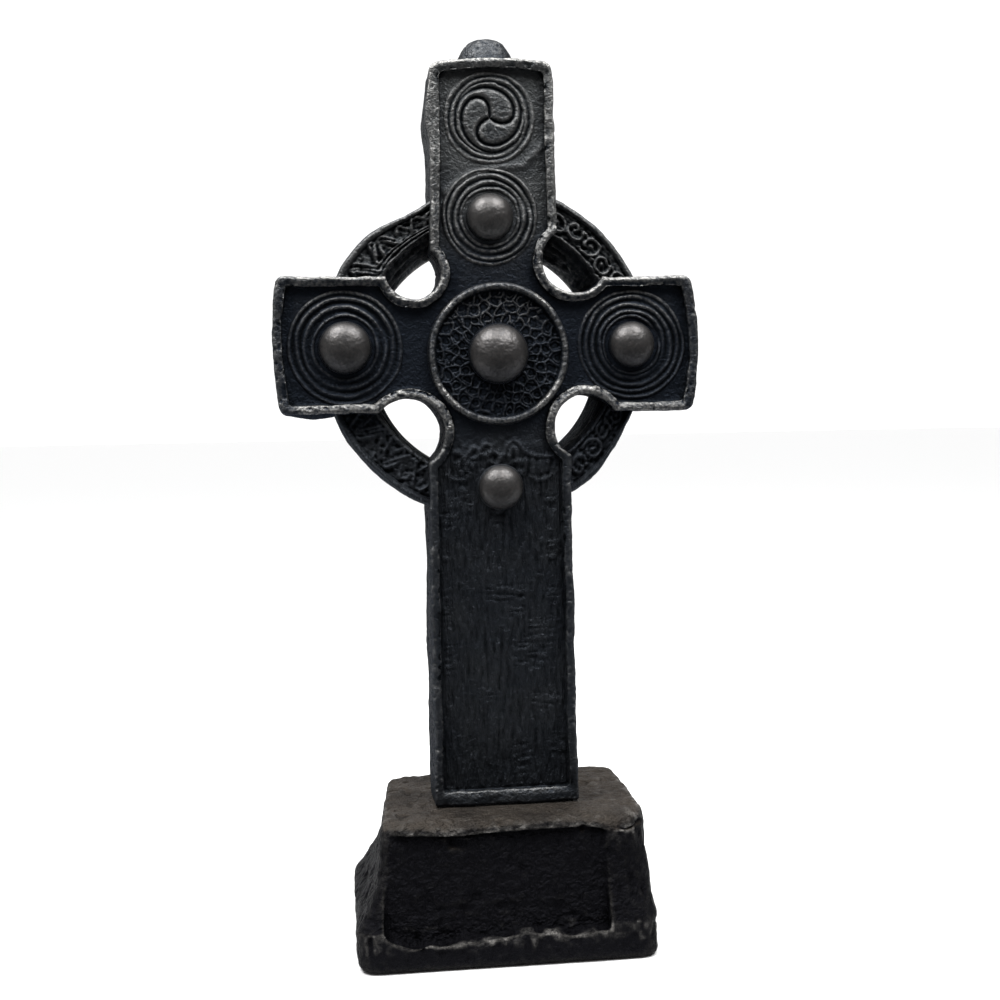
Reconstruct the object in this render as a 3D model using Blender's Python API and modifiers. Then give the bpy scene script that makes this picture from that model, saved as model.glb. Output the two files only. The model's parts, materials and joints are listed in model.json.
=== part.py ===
"""A small cast Celtic ring cross standing on a battered, tooled block.

Metres, +Z up. The carved face looks along -Y. The origin is on the ground, under the middle of
the whole thing.
"""

import math

import bmesh
import bpy
from mathutils import Matrix, Vector

# The whole cross
HEIGHT = 0.2000
ARM_SPAN = 0.0939
CROSSING_DROP = 0.0674
THICKNESS = 0.0160
SEAT_GAP = 0.0003
EDGE_CHAMFER = 0.0005

# The shaft, whose centre line stands a little right of the arms' middle
SHAFT_X = 0.0023
FOOT_WIDTH = 0.0325
SHAFT_WIDTH = 0.0316

# The upper arm, whose middle leans to the left of the shaft's
NECK_WIDTH = 0.0291
NECK_LEAN = -0.0004
TOP_WIDTH = 0.0265
TOP_LEAN = -0.0006
TOP_BULGE = 0.0009
TOP_CORNER = 0.0024
FOOT_CORNER = 0.0008

# The side arms
ARM_END_HEIGHT = 0.0296
ARM_NECK_HEIGHT = 0.0298
LEFT_ARM_RISE = 0.0002
RIGHT_ARM_RISE = -0.0002
ARM_END_BULGE = 0.0013
ARM_CORNER = 0.0018

# Hollows at the armpits: side, level, how far out and how far up from the corner, and radius
HOLLOWS = (
    (-1, 1, 0.0039, 0.0010, 0.0061),
    (1, 1, 0.0036, 0.0037, 0.0072),
    (-1, -1, 0.0042, 0.0045, 0.0079),
    (1, -1, 0.0035, 0.0032, 0.0072),
)

# The raised rim round both faces and the sunk fields inside it
RIM_WIDTH = 0.0020
FOOT_RIM_WIDTH = 0.0032
FIELD_DEPTH = 0.0016
BACK_FIELD_DEPTH = 0.0010

# The cap on the upper arm
CAP_HEIGHT = 0.0056
CAP_RADIUS = 0.0062
CAP_FLAT_RADIUS = 0.0026
CAP_LEVELS = (0.98, 0.78, 0.42)
CAP_SHOULDER_SHARE = 0.92

# The ring, set back from both faces, with a bore that narrows and drops towards the back
RING_RADIUS = 0.0369
RING_THICKNESS = 0.0096
RING_OFFSET_X = -0.0022
RING_OFFSET_Z = -0.0012
RING_BORE_FRONT = 0.0285
RING_BORE_BACK = 0.0255
RING_MOUTH_SHIFT_X = 0.0008
RING_MOUTH_SHIFT_Z = 0.0004
RING_BORE_SHIFT_X = 0.0004
RING_BORE_SHIFT_Z = -0.0016
RING_BEAD_WIDTH = 0.0016
RING_BEAD_HEIGHT = 0.0008
RING_BEAD_SHOULDERS = ((0.75, 0.8), (0.4, 1.0))

# Where the ring's outer edge is flatter than a circle: angle, depth, and spread of the angle
RING_FLATS = (
    (118.0, 0.0024, 16.0),
    (-26.0, 0.0012, 16.0),
)

# The plait on the ring's front
PLAIT_WAVES = 28
PLAIT_SWING = 0.0019
PLAIT_STRAND = 0.0011
PLAIT_RISE = 0.0008
STRAND_LIFT = 0.00023

# Roundels of low ridges, and the bosses in their middles
ROUNDEL_RISE = 0.00015
ROUNDEL_SINK = 0.0008
RIDGE_HEIGHT = 0.0006
BOSS_DOME_SHARE = 0.86
TOP_BOSS = {"drop": 0.0340, "out": -0.0013, "boss": 0.0052, "ridges": 4, "reach": 0.0103}
LEFT_BOSS = {"from_end": 0.0158, "up": -0.0003, "boss": 0.0058, "ridges": 4, "reach": 0.0115}
RIGHT_BOSS = {"from_end": 0.0148, "up": -0.0003, "boss": 0.0052, "ridges": 5, "reach": 0.0118}
LOW_BOSS_DROP = 0.0314
LOW_BOSS_RADIUS = 0.0050

# The triskele roundel in the upper arm
TRISKELE_DROP = 0.0126
TRISKELE_OUT = -0.0010
TRISKELE_REACH = 0.0096
TRISKELE_RIDGE_COUNT = 2
TRISKELE_HEAD_REACH = 0.0026
TRISKELE_HEAD_RADIUS = 0.0019
TRISKELE_TAIL_RADIUS = 0.0006
TRISKELE_TAIL_REACH = 0.0066
TRISKELE_FLATNESS = 0.45
LOBE_COUNT = 3
LOBE_START_DEGREES = 150
LOBE_SWEEP_DEGREES = 230
LOBE_UNWIND_POWER = 0.8
LOBE_TAPER_POWER = 1.5
LOBE_BLUNT_SHARE = 0.2

# The great roundel on the crossing: its rim, and a net of small pits round the centre boss
DISC_RADIUS = 0.0157
DISC_DROP = 0.0020
DISC_RIM_WIDTH = 0.0016
DISC_RIM_HEIGHT = 0.0019
DISC_RIM_SLOPE = 0.25
DISC_FLOOR_HEIGHT = 0.0007
CENTRE_BOSS_RADIUS = 0.0067
PIT_RINGS = 3
PIT_PITCH = 0.0027
PIT_SIDES = 4
PIT_DEPTH = 0.0007
PIT_MOUTH_SHARE = 0.62
PIT_FLOOR_SHARE = 0.10
PIT_RING_SHARE = 0.84

# The low moulding across the shaft, between the great roundel and the low boss
MOULDING_DROP = 0.0236
MOULDING_RADIUS = 0.0006
MOULDING_PEAK = 0.0030

# Its line, as shares of half the field's width and of the peak's height
MOULDING_LINE = (
    (-1.0, 0.0),
    (-0.45, 0.0),
    (0.0, -0.45),
    (0.25, 0.75),
    (0.5, -0.4),
    (1.0, -0.4),
)

# The base block: its ground plan, its top plan and its profile
BASE_HEIGHT = 0.0300
BASE_LEFT = -0.0319
BASE_RIGHT = 0.0334
BASE_DEPTH = 0.0516
BASE_TOP_LEFT_FRONT = -0.0268
BASE_TOP_LEFT_BACK = -0.0233
BASE_TOP_RIGHT = 0.0323
BASE_TOP_FRONT = -0.0202
BASE_TOP_BACK = 0.0240
BASE_TOE_SHARE = 0.27
BASE_FLARE_POWER = 2.4
BASE_EDGE_ROUND = 0.0013
BASE_CORNER_RADIUS = 0.0040
BASE_WORN_CORNER_RADIUS = 0.0085

# The sunk panel in the base's front
PANEL_LEFT = -0.0259
PANEL_RIGHT = 0.0221
PANEL_LOW = 0.0068
PANEL_LIP = 0.0020
PANEL_DEPTH_LOW = 0.0032
PANEL_DEPTH_HIGH = 0.0011

# How finely round shapes are faceted
ARC_STEPS = 8
CORNER_STEPS = 3
TURN_STEPS = 26
DOME_STEPS = 4
DISC_STEPS = 34
PLAIT_STEPS = 6
BAND_STEPS = 6
LOBE_STEPS = 11
MERGE = 0.00001
CLEAR = 0.0020

OBJECT_NAME = "celtic_cross"
CROSSING_Z = HEIGHT - CROSSING_DROP
CROSSING = Vector((SHAFT_X, CROSSING_Z))
FOOT_Z = BASE_HEIGHT + SEAT_GAP
RIM_TOP_Z = HEIGHT - CAP_HEIGHT
FACE_Y = -THICKNESS / 2
FIELD_Y = FACE_Y + FIELD_DEPTH
RING_CENTRE = CROSSING + Vector((RING_OFFSET_X, RING_OFFSET_Z))


def clear_scene():
    """Start from an empty file."""
    for item in list(bpy.data.objects):
        bpy.data.objects.remove(item)


def new_collection(name):
    """A collection of its own under the scene."""
    collection = bpy.data.collections.new(name)
    bpy.context.scene.collection.children.link(collection)
    return collection


def new_object(name, mesh, collection):
    """Link a mesh as an object."""
    item = bpy.data.objects.new(name, mesh)
    collection.objects.link(item)
    return item


def as_cutter(item):
    """Mark an object as a shape that is only cut with or joined on."""
    item.hide_render = True
    item.display_type = "WIRE"
    return item


def add_boolean(target, tool, operation):
    """Join a shape on, or cut it away, with an exact Boolean."""
    modifier = target.modifiers.new(tool.name, "BOOLEAN")
    modifier.operation = operation
    modifier.object = tool
    modifier.solver = "EXACT"


def mesh_from_curve(item, collection, transform=None):
    """Turn a curve object into a closed mesh object of the same name and place."""
    bpy.context.view_layer.update()
    depsgraph = bpy.context.evaluated_depsgraph_get()
    mesh = bpy.data.meshes.new_from_object(item.evaluated_get(depsgraph))
    shape = bmesh.new()
    shape.from_mesh(mesh)
    bmesh.ops.remove_doubles(shape, verts=shape.verts, dist=MERGE)
    bmesh.ops.dissolve_limit(
        shape, angle_limit=math.radians(0.5), verts=shape.verts, edges=shape.edges
    )
    if transform is not None:
        bmesh.ops.transform(shape, matrix=transform, verts=shape.verts)
    bmesh.ops.recalc_face_normals(shape, faces=shape.faces)
    shape.to_mesh(mesh)
    shape.free()
    name = item.name
    matrix = item.matrix_world.copy()
    bpy.data.objects.remove(item)
    solid = new_object(name, mesh, collection)
    solid.matrix_world = matrix
    return solid


def outline_solid(name, points, front_y, back_y, collection):
    """A flat outline drawn in X and Z, with its thickness from front_y to back_y."""
    curve = bpy.data.curves.new(name, "CURVE")
    curve.dimensions = "2D"
    curve.fill_mode = "BOTH"
    curve.extrude = (back_y - front_y) / 2
    spline = curve.splines.new("POLY")
    spline.points.add(len(points) - 1)
    for place, point in zip(spline.points, points):
        place.co = (point[0], point[1], 0.0, 1.0)
    spline.use_cyclic_u = True
    item = bpy.data.objects.new(name, curve)
    item.rotation_euler = (math.pi / 2, 0.0, 0.0)
    item.location = (0.0, (front_y + back_y) / 2, 0.0)
    collection.objects.link(item)
    return mesh_from_curve(item, collection)


def strand_solid(name, points, radii, flatness, collection):
    """A round-ended strand along points in X, Y and Z, pressed flatter in its depth."""
    curve = bpy.data.curves.new(name, "CURVE")
    curve.dimensions = "3D"
    curve.bevel_depth = 1.0
    curve.bevel_resolution = 1
    curve.use_fill_caps = True
    spline = curve.splines.new("POLY")
    spline.points.add(len(points) - 1)
    for place, point, radius in zip(spline.points, points, radii):
        place.co = (point[0], point[1], point[2], 1.0)
        place.radius = radius
    item = bpy.data.objects.new(name, curve)
    collection.objects.link(item)
    level = sum(point[1] for point in points) / len(points)
    squash = Matrix.Translation((0.0, level * (1 - flatness), 0.0))
    squash = squash @ Matrix.Diagonal((1.0, flatness, 1.0, 1.0))
    return mesh_from_curve(item, collection, squash)


def turned_solid(name, profile, steps, collection):
    """A turned shape: the profile runs down its outer side, from the axis to the axis."""
    mesh = bpy.data.meshes.new(name)
    places = [(radius, 0.0, height) for radius, height in profile]
    edges = [(i, i + 1) for i in range(len(places) - 1)]
    mesh.from_pydata(places, edges, [])
    item = new_object(name, mesh, collection)
    screw = item.modifiers.new("turn", "SCREW")
    screw.axis = "Z"
    screw.steps = steps
    screw.render_steps = steps
    screw.use_merge_vertices = True
    screw.merge_threshold = MERGE
    return item


def face_forward(item, x, level_y, z):
    """Lay a turned shape on the carved face, with its axis out of the face."""
    item.rotation_euler = (math.pi / 2, 0.0, 0.0)
    item.location = (x, level_y, z)
    return as_cutter(item)


def face_backward(item, x, level_y, z):
    """Lay a turned shape on the back, with its axis out of the back."""
    item.rotation_euler = (-math.pi / 2, 0.0, 0.0)
    item.location = (x, level_y, z)
    return as_cutter(item)


def line_meet(start, end, other_start, other_end):
    """Where two straight edges, drawn on, cross."""
    run = end - start
    other = other_end - other_start
    gap = other_start - start
    share = gap.cross(other) / run.cross(other)
    return start + run * share


def circle_meet(far, near, centre, radius):
    """Where the edge from far to near first meets a circle."""
    run = (near - far).normalized()
    gap = far - centre
    along = gap.dot(run)
    reach = math.sqrt(along * along - gap.dot(gap) + radius * radius)
    return far + run * (-along - reach)


def arm_edge(side, level, inset):
    """The two ends of a side arm's upper or lower edge, outer end first."""
    outer_x = side * (ARM_SPAN / 2 - ARM_END_BULGE - inset)
    middle_z = CROSSING_Z + (RIGHT_ARM_RISE if side > 0 else LEFT_ARM_RISE)
    outer = Vector((outer_x, middle_z + level * (ARM_END_HEIGHT / 2 - inset)))
    inner = Vector((SHAFT_X, middle_z + level * (ARM_NECK_HEIGHT / 2 - inset)))
    return outer, inner


def shaft_edge(side, level, inset, foot_inset):
    """The two ends of the shaft's or the upper arm's side edge, outer end first."""
    if level > 0:
        far_width, near_width = TOP_WIDTH, NECK_WIDTH
        far_x, near_x = SHAFT_X + TOP_LEAN, SHAFT_X + NECK_LEAN
        far_z = RIM_TOP_Z - TOP_BULGE - inset
    else:
        far_width, near_width = FOOT_WIDTH, SHAFT_WIDTH
        far_x, near_x = SHAFT_X, SHAFT_X
        far_z = FOOT_Z + foot_inset
    outer = Vector((far_x + side * (far_width / 2 - inset), far_z))
    inner = Vector((near_x + side * (near_width / 2 - inset), CROSSING_Z))
    return outer, inner


def hollow_arc(hollow, inset, foot_inset):
    """The hollow at one armpit, from the side arm's edge to the shaft's edge."""
    side, level, out, up, radius = hollow
    corner = line_meet(*arm_edge(side, level, 0.0), *shaft_edge(side, level, 0.0, 0.0))
    centre = corner + Vector((side * out, level * up))
    radius = radius + inset
    start = circle_meet(*arm_edge(side, level, inset), centre, radius) - centre
    end = circle_meet(*shaft_edge(side, level, inset, foot_inset), centre, radius) - centre
    inward = math.atan2(-level, -side)
    turns = []
    for point in (start, end):
        turn = math.atan2(point.y, point.x) - inward
        turns.append((turn + math.pi) % (2 * math.pi) - math.pi)
    arc = []
    for i in range(ARC_STEPS + 1):
        angle = inward + turns[0] + (turns[1] - turns[0]) * i / ARC_STEPS
        arc.append(centre + radius * Vector((math.cos(angle), math.sin(angle))))
    return arc


def rounded_corner(before, corner, after, radius):
    """A corner rounded to a radius, as points from its first to its last tangent point."""
    to_before = (before - corner).normalized()
    to_after = (after - corner).normalized()
    half_angle = to_before.angle(to_after) / 2
    trim = radius / math.tan(half_angle)
    middle = corner + (to_before + to_after).normalized() * radius / math.sin(half_angle)
    start = corner + to_before * trim - middle
    end = corner + to_after * trim - middle
    sweep = start.angle_signed(end)
    points = []
    for i in range(CORNER_STEPS + 1):
        turn = Matrix.Rotation(-sweep * i / CORNER_STEPS, 2)
        points.append(middle + turn @ start)
    return points


def bulged_end(start, end, bulge):
    """Points between two corners of an end that swells outwards."""
    outward = Vector((end.y - start.y, start.x - end.x)).normalized()
    points = []
    for share in (0.25, 0.5, 0.75):
        swell = bulge * (1 - (2 * share - 1) ** 2)
        points.append(start.lerp(end, share) + outward * swell)
    return points


def closed_end(start, end, before, after, bulge, radius):
    """One end of an arm: two rounded corners with a swelling edge between them."""
    between = bulged_end(start, end, bulge)
    points = rounded_corner(before, start, between[0], radius)
    points += between
    points += rounded_corner(between[-1], end, after, radius)
    return points


def cross_outline(inset, foot_inset):
    """The cross face from the right of the foot, counterclockwise, drawn in by an inset."""
    upper_left, upper_right, lower_left, lower_right = [
        hollow_arc(hollow, inset, foot_inset) for hollow in HOLLOWS
    ]
    foot_left = shaft_edge(-1, -1, inset, foot_inset)[0]
    foot_right = shaft_edge(1, -1, inset, foot_inset)[0]
    top_left = shaft_edge(-1, 1, inset, foot_inset)[0]
    top_right = shaft_edge(1, 1, inset, foot_inset)[0]
    right_low = arm_edge(1, -1, inset)[0]
    right_high = arm_edge(1, 1, inset)[0]
    left_low = arm_edge(-1, -1, inset)[0]
    left_high = arm_edge(-1, 1, inset)[0]
    corner = max(ARM_CORNER - inset, ARM_CORNER / 2)
    top_corner = max(TOP_CORNER - inset, ARM_CORNER / 2)
    points = rounded_corner(foot_left, foot_right, lower_right[-1], FOOT_CORNER)
    points += reversed(lower_right)
    points += closed_end(
        right_low, right_high, lower_right[0], upper_right[0], ARM_END_BULGE, corner
    )
    points += upper_right
    points += closed_end(
        top_right, top_left, upper_right[-1], upper_left[-1], TOP_BULGE, top_corner
    )
    points += reversed(upper_left)
    points += closed_end(
        left_high, left_low, upper_left[0], lower_left[0], ARM_END_BULGE, corner
    )
    points += lower_left
    points += rounded_corner(lower_left[-1], foot_left, foot_right, FOOT_CORNER)
    return points


def chamfer_edges(item, width):
    """Break the sharp edges all round a flat solid."""
    bevel = item.modifiers.new("edges", "BEVEL")
    bevel.width = width
    bevel.segments = 1
    bevel.limit_method = "ANGLE"
    bevel.angle_limit = math.radians(60)


def cross_slab(parts):
    """The flat body of the cross, with its outer edges broken."""
    item = outline_solid("cross", cross_outline(0.0, 0.0), FACE_Y, -FACE_Y, parts)
    chamfer_edges(item, EDGE_CHAMFER)
    return item


def sunk_fields(cutters):
    """The two sunk fields, on the carved face and on the back."""
    outline = cross_outline(RIM_WIDTH, FOOT_RIM_WIDTH)
    front = outline_solid("front_field", outline, FACE_Y - CLEAR, FIELD_Y, cutters)
    back_y = -FACE_Y - BACK_FIELD_DEPTH
    back = outline_solid("back_field", outline, back_y, -FACE_Y + CLEAR, cutters)
    return as_cutter(front), as_cutter(back)


def plait_height(angle, radius):
    """How far the two crossing strands of the ring's plait stand out at a place on the band."""
    middle = (RING_BORE_FRONT + RING_RADIUS - RING_BEAD_WIDTH) / 2
    height = 0.0
    for side in (-1, 1):
        strand = middle + side * PLAIT_SWING * math.sin(PLAIT_WAVES * angle)
        gap = abs(radius - strand) / PLAIT_STRAND
        height = max(height, PLAIT_RISE * (1 - gap * gap))
    return height


def ring_flatness(angle):
    """How far the ring's outer edge falls short of its circle at an angle."""
    short = 0.0
    for middle, depth, spread in RING_FLATS:
        gap = math.remainder(angle - math.radians(middle), 2 * math.pi)
        short += depth * math.exp(-((gap / math.radians(spread)) ** 2))
    return short


def ring_profile():
    """The ring's section as radius and height, from its bore at the back, round the outside."""
    half = RING_THICKNESS / 2
    band_outer = RING_RADIUS - RING_BEAD_WIDTH
    profile = [
        (RING_BORE_BACK, -half),
        (RING_RADIUS - RING_BEAD_HEIGHT, -half),
        (RING_RADIUS, -half + RING_BEAD_HEIGHT),
        (RING_RADIUS, half - RING_BEAD_HEIGHT),
    ]
    for out, up in RING_BEAD_SHOULDERS:
        profile.append((band_outer + RING_BEAD_WIDTH * out, half + RING_BEAD_HEIGHT * up))
    for i in range(BAND_STEPS + 1):
        radius = band_outer + (RING_BORE_FRONT - band_outer) * i / BAND_STEPS
        profile.append((radius, half))
    return profile


def ring(cutters):
    """The ring behind the arms: bead, plaited band, and a bore that leans and narrows."""
    half = RING_THICKNESS / 2
    count = PLAIT_WAVES * PLAIT_STEPS
    shape = bmesh.new()
    profile = [shape.verts.new((radius, 0.0, height)) for radius, height in ring_profile()]
    edges = [
        shape.edges.new((vert, profile[(i + 1) % len(profile)]))
        for i, vert in enumerate(profile)
    ]
    bmesh.ops.spin(
        shape,
        geom=profile + edges,
        cent=(0.0, 0.0, 0.0),
        axis=(0.0, 0.0, 1.0),
        angle=2 * math.pi,
        steps=count,
        use_merge=True,
    )
    bmesh.ops.remove_doubles(shape, verts=shape.verts, dist=MERGE)
    mouth_shift = Vector((RING_MOUTH_SHIFT_X, RING_MOUTH_SHIFT_Z, 0.0))
    bore_shift = Vector((RING_BORE_SHIFT_X, RING_BORE_SHIFT_Z, 0.0))
    for vert in shape.verts:
        radius = vert.co.xy.length
        angle = math.atan2(vert.co.y, vert.co.x)
        outward = Vector((math.cos(angle), math.sin(angle), 0.0))
        share = (radius - RING_BORE_FRONT) / (RING_RADIUS - RING_BORE_FRONT)
        if vert.co.z > half - MERGE and radius < RING_RADIUS - RING_BEAD_WIDTH - MERGE:
            vert.co.z += plait_height(angle, radius)
        if share < -MERGE:
            vert.co += bore_shift
        elif vert.co.z > 0:
            vert.co += mouth_shift * (1 - share)
        vert.co -= outward * ring_flatness(angle) * max(0.0, share)
    bmesh.ops.recalc_face_normals(shape, faces=shape.faces)
    mesh = bpy.data.meshes.new("ring")
    shape.to_mesh(mesh)
    shape.free()
    return face_forward(new_object("ring", mesh, cutters), RING_CENTRE.x, 0.0, RING_CENTRE.y)


def dome_profile(radius, height):
    """A low dome from its top down to its edge."""
    profile = []
    for i in range(DOME_STEPS + 1):
        angle = math.pi / 2 * i / DOME_STEPS
        profile.append((radius * math.sin(angle), height * math.cos(angle) + ROUNDEL_RISE))
    return profile


def ridge_profile(inner, outer, ridges):
    """Low concentric ridges between two radii, with a valley on each side of each."""
    pitch = (outer - inner) / ridges
    profile = []
    for i in range(ridges):
        profile.append((inner + (i + 0.5) * pitch, ROUNDEL_RISE + RIDGE_HEIGHT))
        profile.append((inner + (i + 1) * pitch, ROUNDEL_RISE))
    return profile


def ridged_boss(name, x, z, boss, ridges, reach, cutters):
    """A domed boss inside a roundel of low ridges."""
    inner = boss + ROUNDEL_RISE
    profile = dome_profile(boss, boss * BOSS_DOME_SHARE)
    profile += [(inner, ROUNDEL_RISE)]
    profile += ridge_profile(inner, reach, ridges)
    profile += [(reach, -ROUNDEL_SINK), (0.0, -ROUNDEL_SINK)]
    item = turned_solid(name, profile, TURN_STEPS, cutters)
    return face_forward(item, x, FIELD_Y, z)


def arm_bosses(cutters):
    """The ridged bosses of the upper arm and the two side arms."""
    top = ridged_boss(
        "top_boss",
        SHAFT_X + TOP_BOSS["out"],
        RIM_TOP_Z - TOP_BOSS["drop"],
        TOP_BOSS["boss"],
        TOP_BOSS["ridges"],
        TOP_BOSS["reach"],
        cutters,
    )
    sides = []
    for name, side, sizes in (("left_boss", -1, LEFT_BOSS), ("right_boss", 1, RIGHT_BOSS)):
        x = side * (ARM_SPAN / 2 - sizes["from_end"])
        z = CROSSING_Z + sizes["up"]
        boss = ridged_boss(
            name, x, z, sizes["boss"], sizes["ridges"], sizes["reach"], cutters
        )
        sides.append(boss)
    return [top] + sides


def low_boss(cutters):
    """The plain boss at the top of the shaft."""
    profile = dome_profile(LOW_BOSS_RADIUS, LOW_BOSS_RADIUS * BOSS_DOME_SHARE)
    profile += [(LOW_BOSS_RADIUS, -ROUNDEL_SINK), (0.0, -ROUNDEL_SINK)]
    item = turned_solid("low_boss", profile, TURN_STEPS, cutters)
    return face_forward(item, SHAFT_X, FIELD_Y, CROSSING_Z - LOW_BOSS_DROP)


def triskele(cutters):
    """Three comma lobes that wind out into the ridges of their roundel."""
    x = SHAFT_X + TRISKELE_OUT
    z = RIM_TOP_Z - TRISKELE_DROP
    profile = [(0.0, ROUNDEL_RISE), (TRISKELE_TAIL_REACH, ROUNDEL_RISE)]
    profile += ridge_profile(TRISKELE_TAIL_REACH, TRISKELE_REACH, TRISKELE_RIDGE_COUNT)
    profile += [(TRISKELE_REACH, -ROUNDEL_SINK), (0.0, -ROUNDEL_SINK)]
    roundel = turned_solid("triskele_roundel", profile, TURN_STEPS, cutters)
    pieces = [face_forward(roundel, x, FIELD_Y, z)]
    for lobe in range(LOBE_COUNT):
        points = []
        radii = []
        for i in range(LOBE_STEPS + 1):
            share = i / LOBE_STEPS
            turn = LOBE_START_DEGREES + 360 * lobe / LOBE_COUNT + LOBE_SWEEP_DEGREES * share
            angle = math.radians(turn)
            reach = TRISKELE_HEAD_REACH
            reach += (TRISKELE_TAIL_REACH - TRISKELE_HEAD_REACH) * share**LOBE_UNWIND_POWER
            lobe_x = x + reach * math.cos(angle)
            lobe_z = z + reach * math.sin(angle)
            points.append((lobe_x, FIELD_Y - STRAND_LIFT, lobe_z))
            blunt = math.sqrt(min(1.0, LOBE_BLUNT_SHARE + share / LOBE_BLUNT_SHARE))
            swell = (TRISKELE_HEAD_RADIUS - TRISKELE_TAIL_RADIUS) * blunt
            radii.append(TRISKELE_TAIL_RADIUS + swell * (1 - share) ** LOBE_TAPER_POWER)
        lobe_solid = strand_solid(
            f"triskele_lobe_{lobe + 1}", points, radii, TRISKELE_FLATNESS, cutters
        )
        pieces.append(as_cutter(lobe_solid))
    return pieces


def great_roundel(cutters):
    """The roundel on the crossing: centre boss, pitted floor and raised rim."""
    rim_inner = DISC_RADIUS - DISC_RIM_WIDTH
    profile = dome_profile(CENTRE_BOSS_RADIUS, CENTRE_BOSS_RADIUS * BOSS_DOME_SHARE)
    profile += [
        (CENTRE_BOSS_RADIUS + ROUNDEL_RISE, DISC_FLOOR_HEIGHT),
        (rim_inner, DISC_FLOOR_HEIGHT),
        (rim_inner + DISC_RIM_WIDTH * DISC_RIM_SLOPE, DISC_RIM_HEIGHT),
        (DISC_RADIUS - DISC_RIM_WIDTH * DISC_RIM_SLOPE, DISC_RIM_HEIGHT),
        (DISC_RADIUS, ROUNDEL_RISE),
        (DISC_RADIUS, -ROUNDEL_SINK),
        (0.0, -ROUNDEL_SINK),
    ]
    item = turned_solid("great_roundel", profile, DISC_STEPS, cutters)
    return face_forward(item, SHAFT_X, FIELD_Y, CROSSING_Z - DISC_DROP)


def pit_cutters(cutters):
    """Staggered rings of small pits in the great roundel's floor."""
    mesh = bpy.data.meshes.new("pits")
    shape = bmesh.new()
    start = CENTRE_BOSS_RADIUS + PIT_PITCH * PIT_MOUTH_SHARE
    level = DISC_FLOOR_HEIGHT
    for ring in range(PIT_RINGS):
        reach = start + ring * PIT_PITCH * PIT_RING_SHARE
        count = int(2 * math.pi * reach / PIT_PITCH)
        for i in range(count):
            angle = 2 * math.pi * (i + 0.5 * (ring % 2)) / count
            place = Matrix.Translation((reach * math.cos(angle), reach * math.sin(angle), level))
            place = place @ Matrix.Rotation(angle, 4, "Z")
            bmesh.ops.create_cone(
                shape,
                cap_ends=True,
                segments=PIT_SIDES,
                radius1=PIT_PITCH * PIT_FLOOR_SHARE,
                radius2=PIT_PITCH * PIT_MOUTH_SHARE,
                depth=2 * PIT_DEPTH,
                matrix=place,
            )
    shape.to_mesh(mesh)
    shape.free()
    item = new_object("pits", mesh, cutters)
    return face_forward(item, SHAFT_X, FIELD_Y, CROSSING_Z - DISC_DROP)


def moulding(cutters):
    """The low moulding across the top of the shaft, with a small peak in it."""
    z = CROSSING_Z - MOULDING_DROP
    half = SHAFT_WIDTH / 2 - RIM_WIDTH
    level = FIELD_Y - STRAND_LIFT
    points = [
        (SHAFT_X + half * out, level, z + MOULDING_PEAK * up) for out, up in MOULDING_LINE
    ]
    radii = [MOULDING_RADIUS] * len(points)
    return as_cutter(strand_solid("moulding", points, radii, 1.0, cutters))


def cap(cutters):
    """The low, flat-topped dome on the upper arm."""
    sink = TOP_BULGE + CLEAR
    shoulder = (CAP_FLAT_RADIUS + CAP_RADIUS) / 2
    profile = [
        (0.0, CAP_HEIGHT),
        (CAP_FLAT_RADIUS, CAP_HEIGHT * CAP_LEVELS[0]),
        (shoulder, CAP_HEIGHT * CAP_LEVELS[1]),
        (CAP_RADIUS * CAP_SHOULDER_SHARE, CAP_HEIGHT * CAP_LEVELS[2]),
        (CAP_RADIUS, 0.0),
        (CAP_RADIUS, -sink),
        (0.0, -sink),
    ]
    item = turned_solid("cap", profile, TURN_STEPS, cutters)
    item.location = (SHAFT_X + TRISKELE_OUT, 0.0, RIM_TOP_Z)
    return as_cutter(item)


def back_roundel(cutters):
    """The plain roundel on the back of the crossing."""
    profile = [
        (0.0, RIDGE_HEIGHT),
        (DISC_RADIUS - DISC_RIM_WIDTH * 2, RIDGE_HEIGHT),
        (DISC_RADIUS - DISC_RIM_WIDTH, RIDGE_HEIGHT + ROUNDEL_RISE * 3),
        (DISC_RADIUS, ROUNDEL_RISE),
        (DISC_RADIUS, -ROUNDEL_SINK),
        (0.0, -ROUNDEL_SINK),
    ]
    item = turned_solid("back_roundel", profile, TURN_STEPS, cutters)
    level = -FACE_Y - BACK_FIELD_DEPTH
    return face_backward(item, SHAFT_X, level, CROSSING_Z - DISC_DROP)


def build_cross(parts, cutters, material):
    """The whole casting: slab, ring, fields, roundels, bosses and cap."""
    item = cross_slab(parts)
    for field in sunk_fields(cutters):
        add_boolean(item, field, "DIFFERENCE")
    raised = [ring(cutters), cap(cutters), great_roundel(cutters)]
    raised += arm_bosses(cutters)
    raised += triskele(cutters)
    raised += [low_boss(cutters), moulding(cutters), back_roundel(cutters)]
    for tool in raised:
        add_boolean(item, tool, "UNION")
    add_boolean(item, pit_cutters(cutters), "DIFFERENCE")
    item.data.materials.append(material)
    return item


def plan_section(z, corners, radii):
    """One level of the base block: a four-sided plan with rounded corners."""
    points = []
    for i, corner in enumerate(corners):
        before = corners[i - 1]
        after = corners[(i + 1) % len(corners)]
        points += rounded_corner(before, corner, after, radii[i])
    return [(point.x, point.y, z) for point in points]


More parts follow.
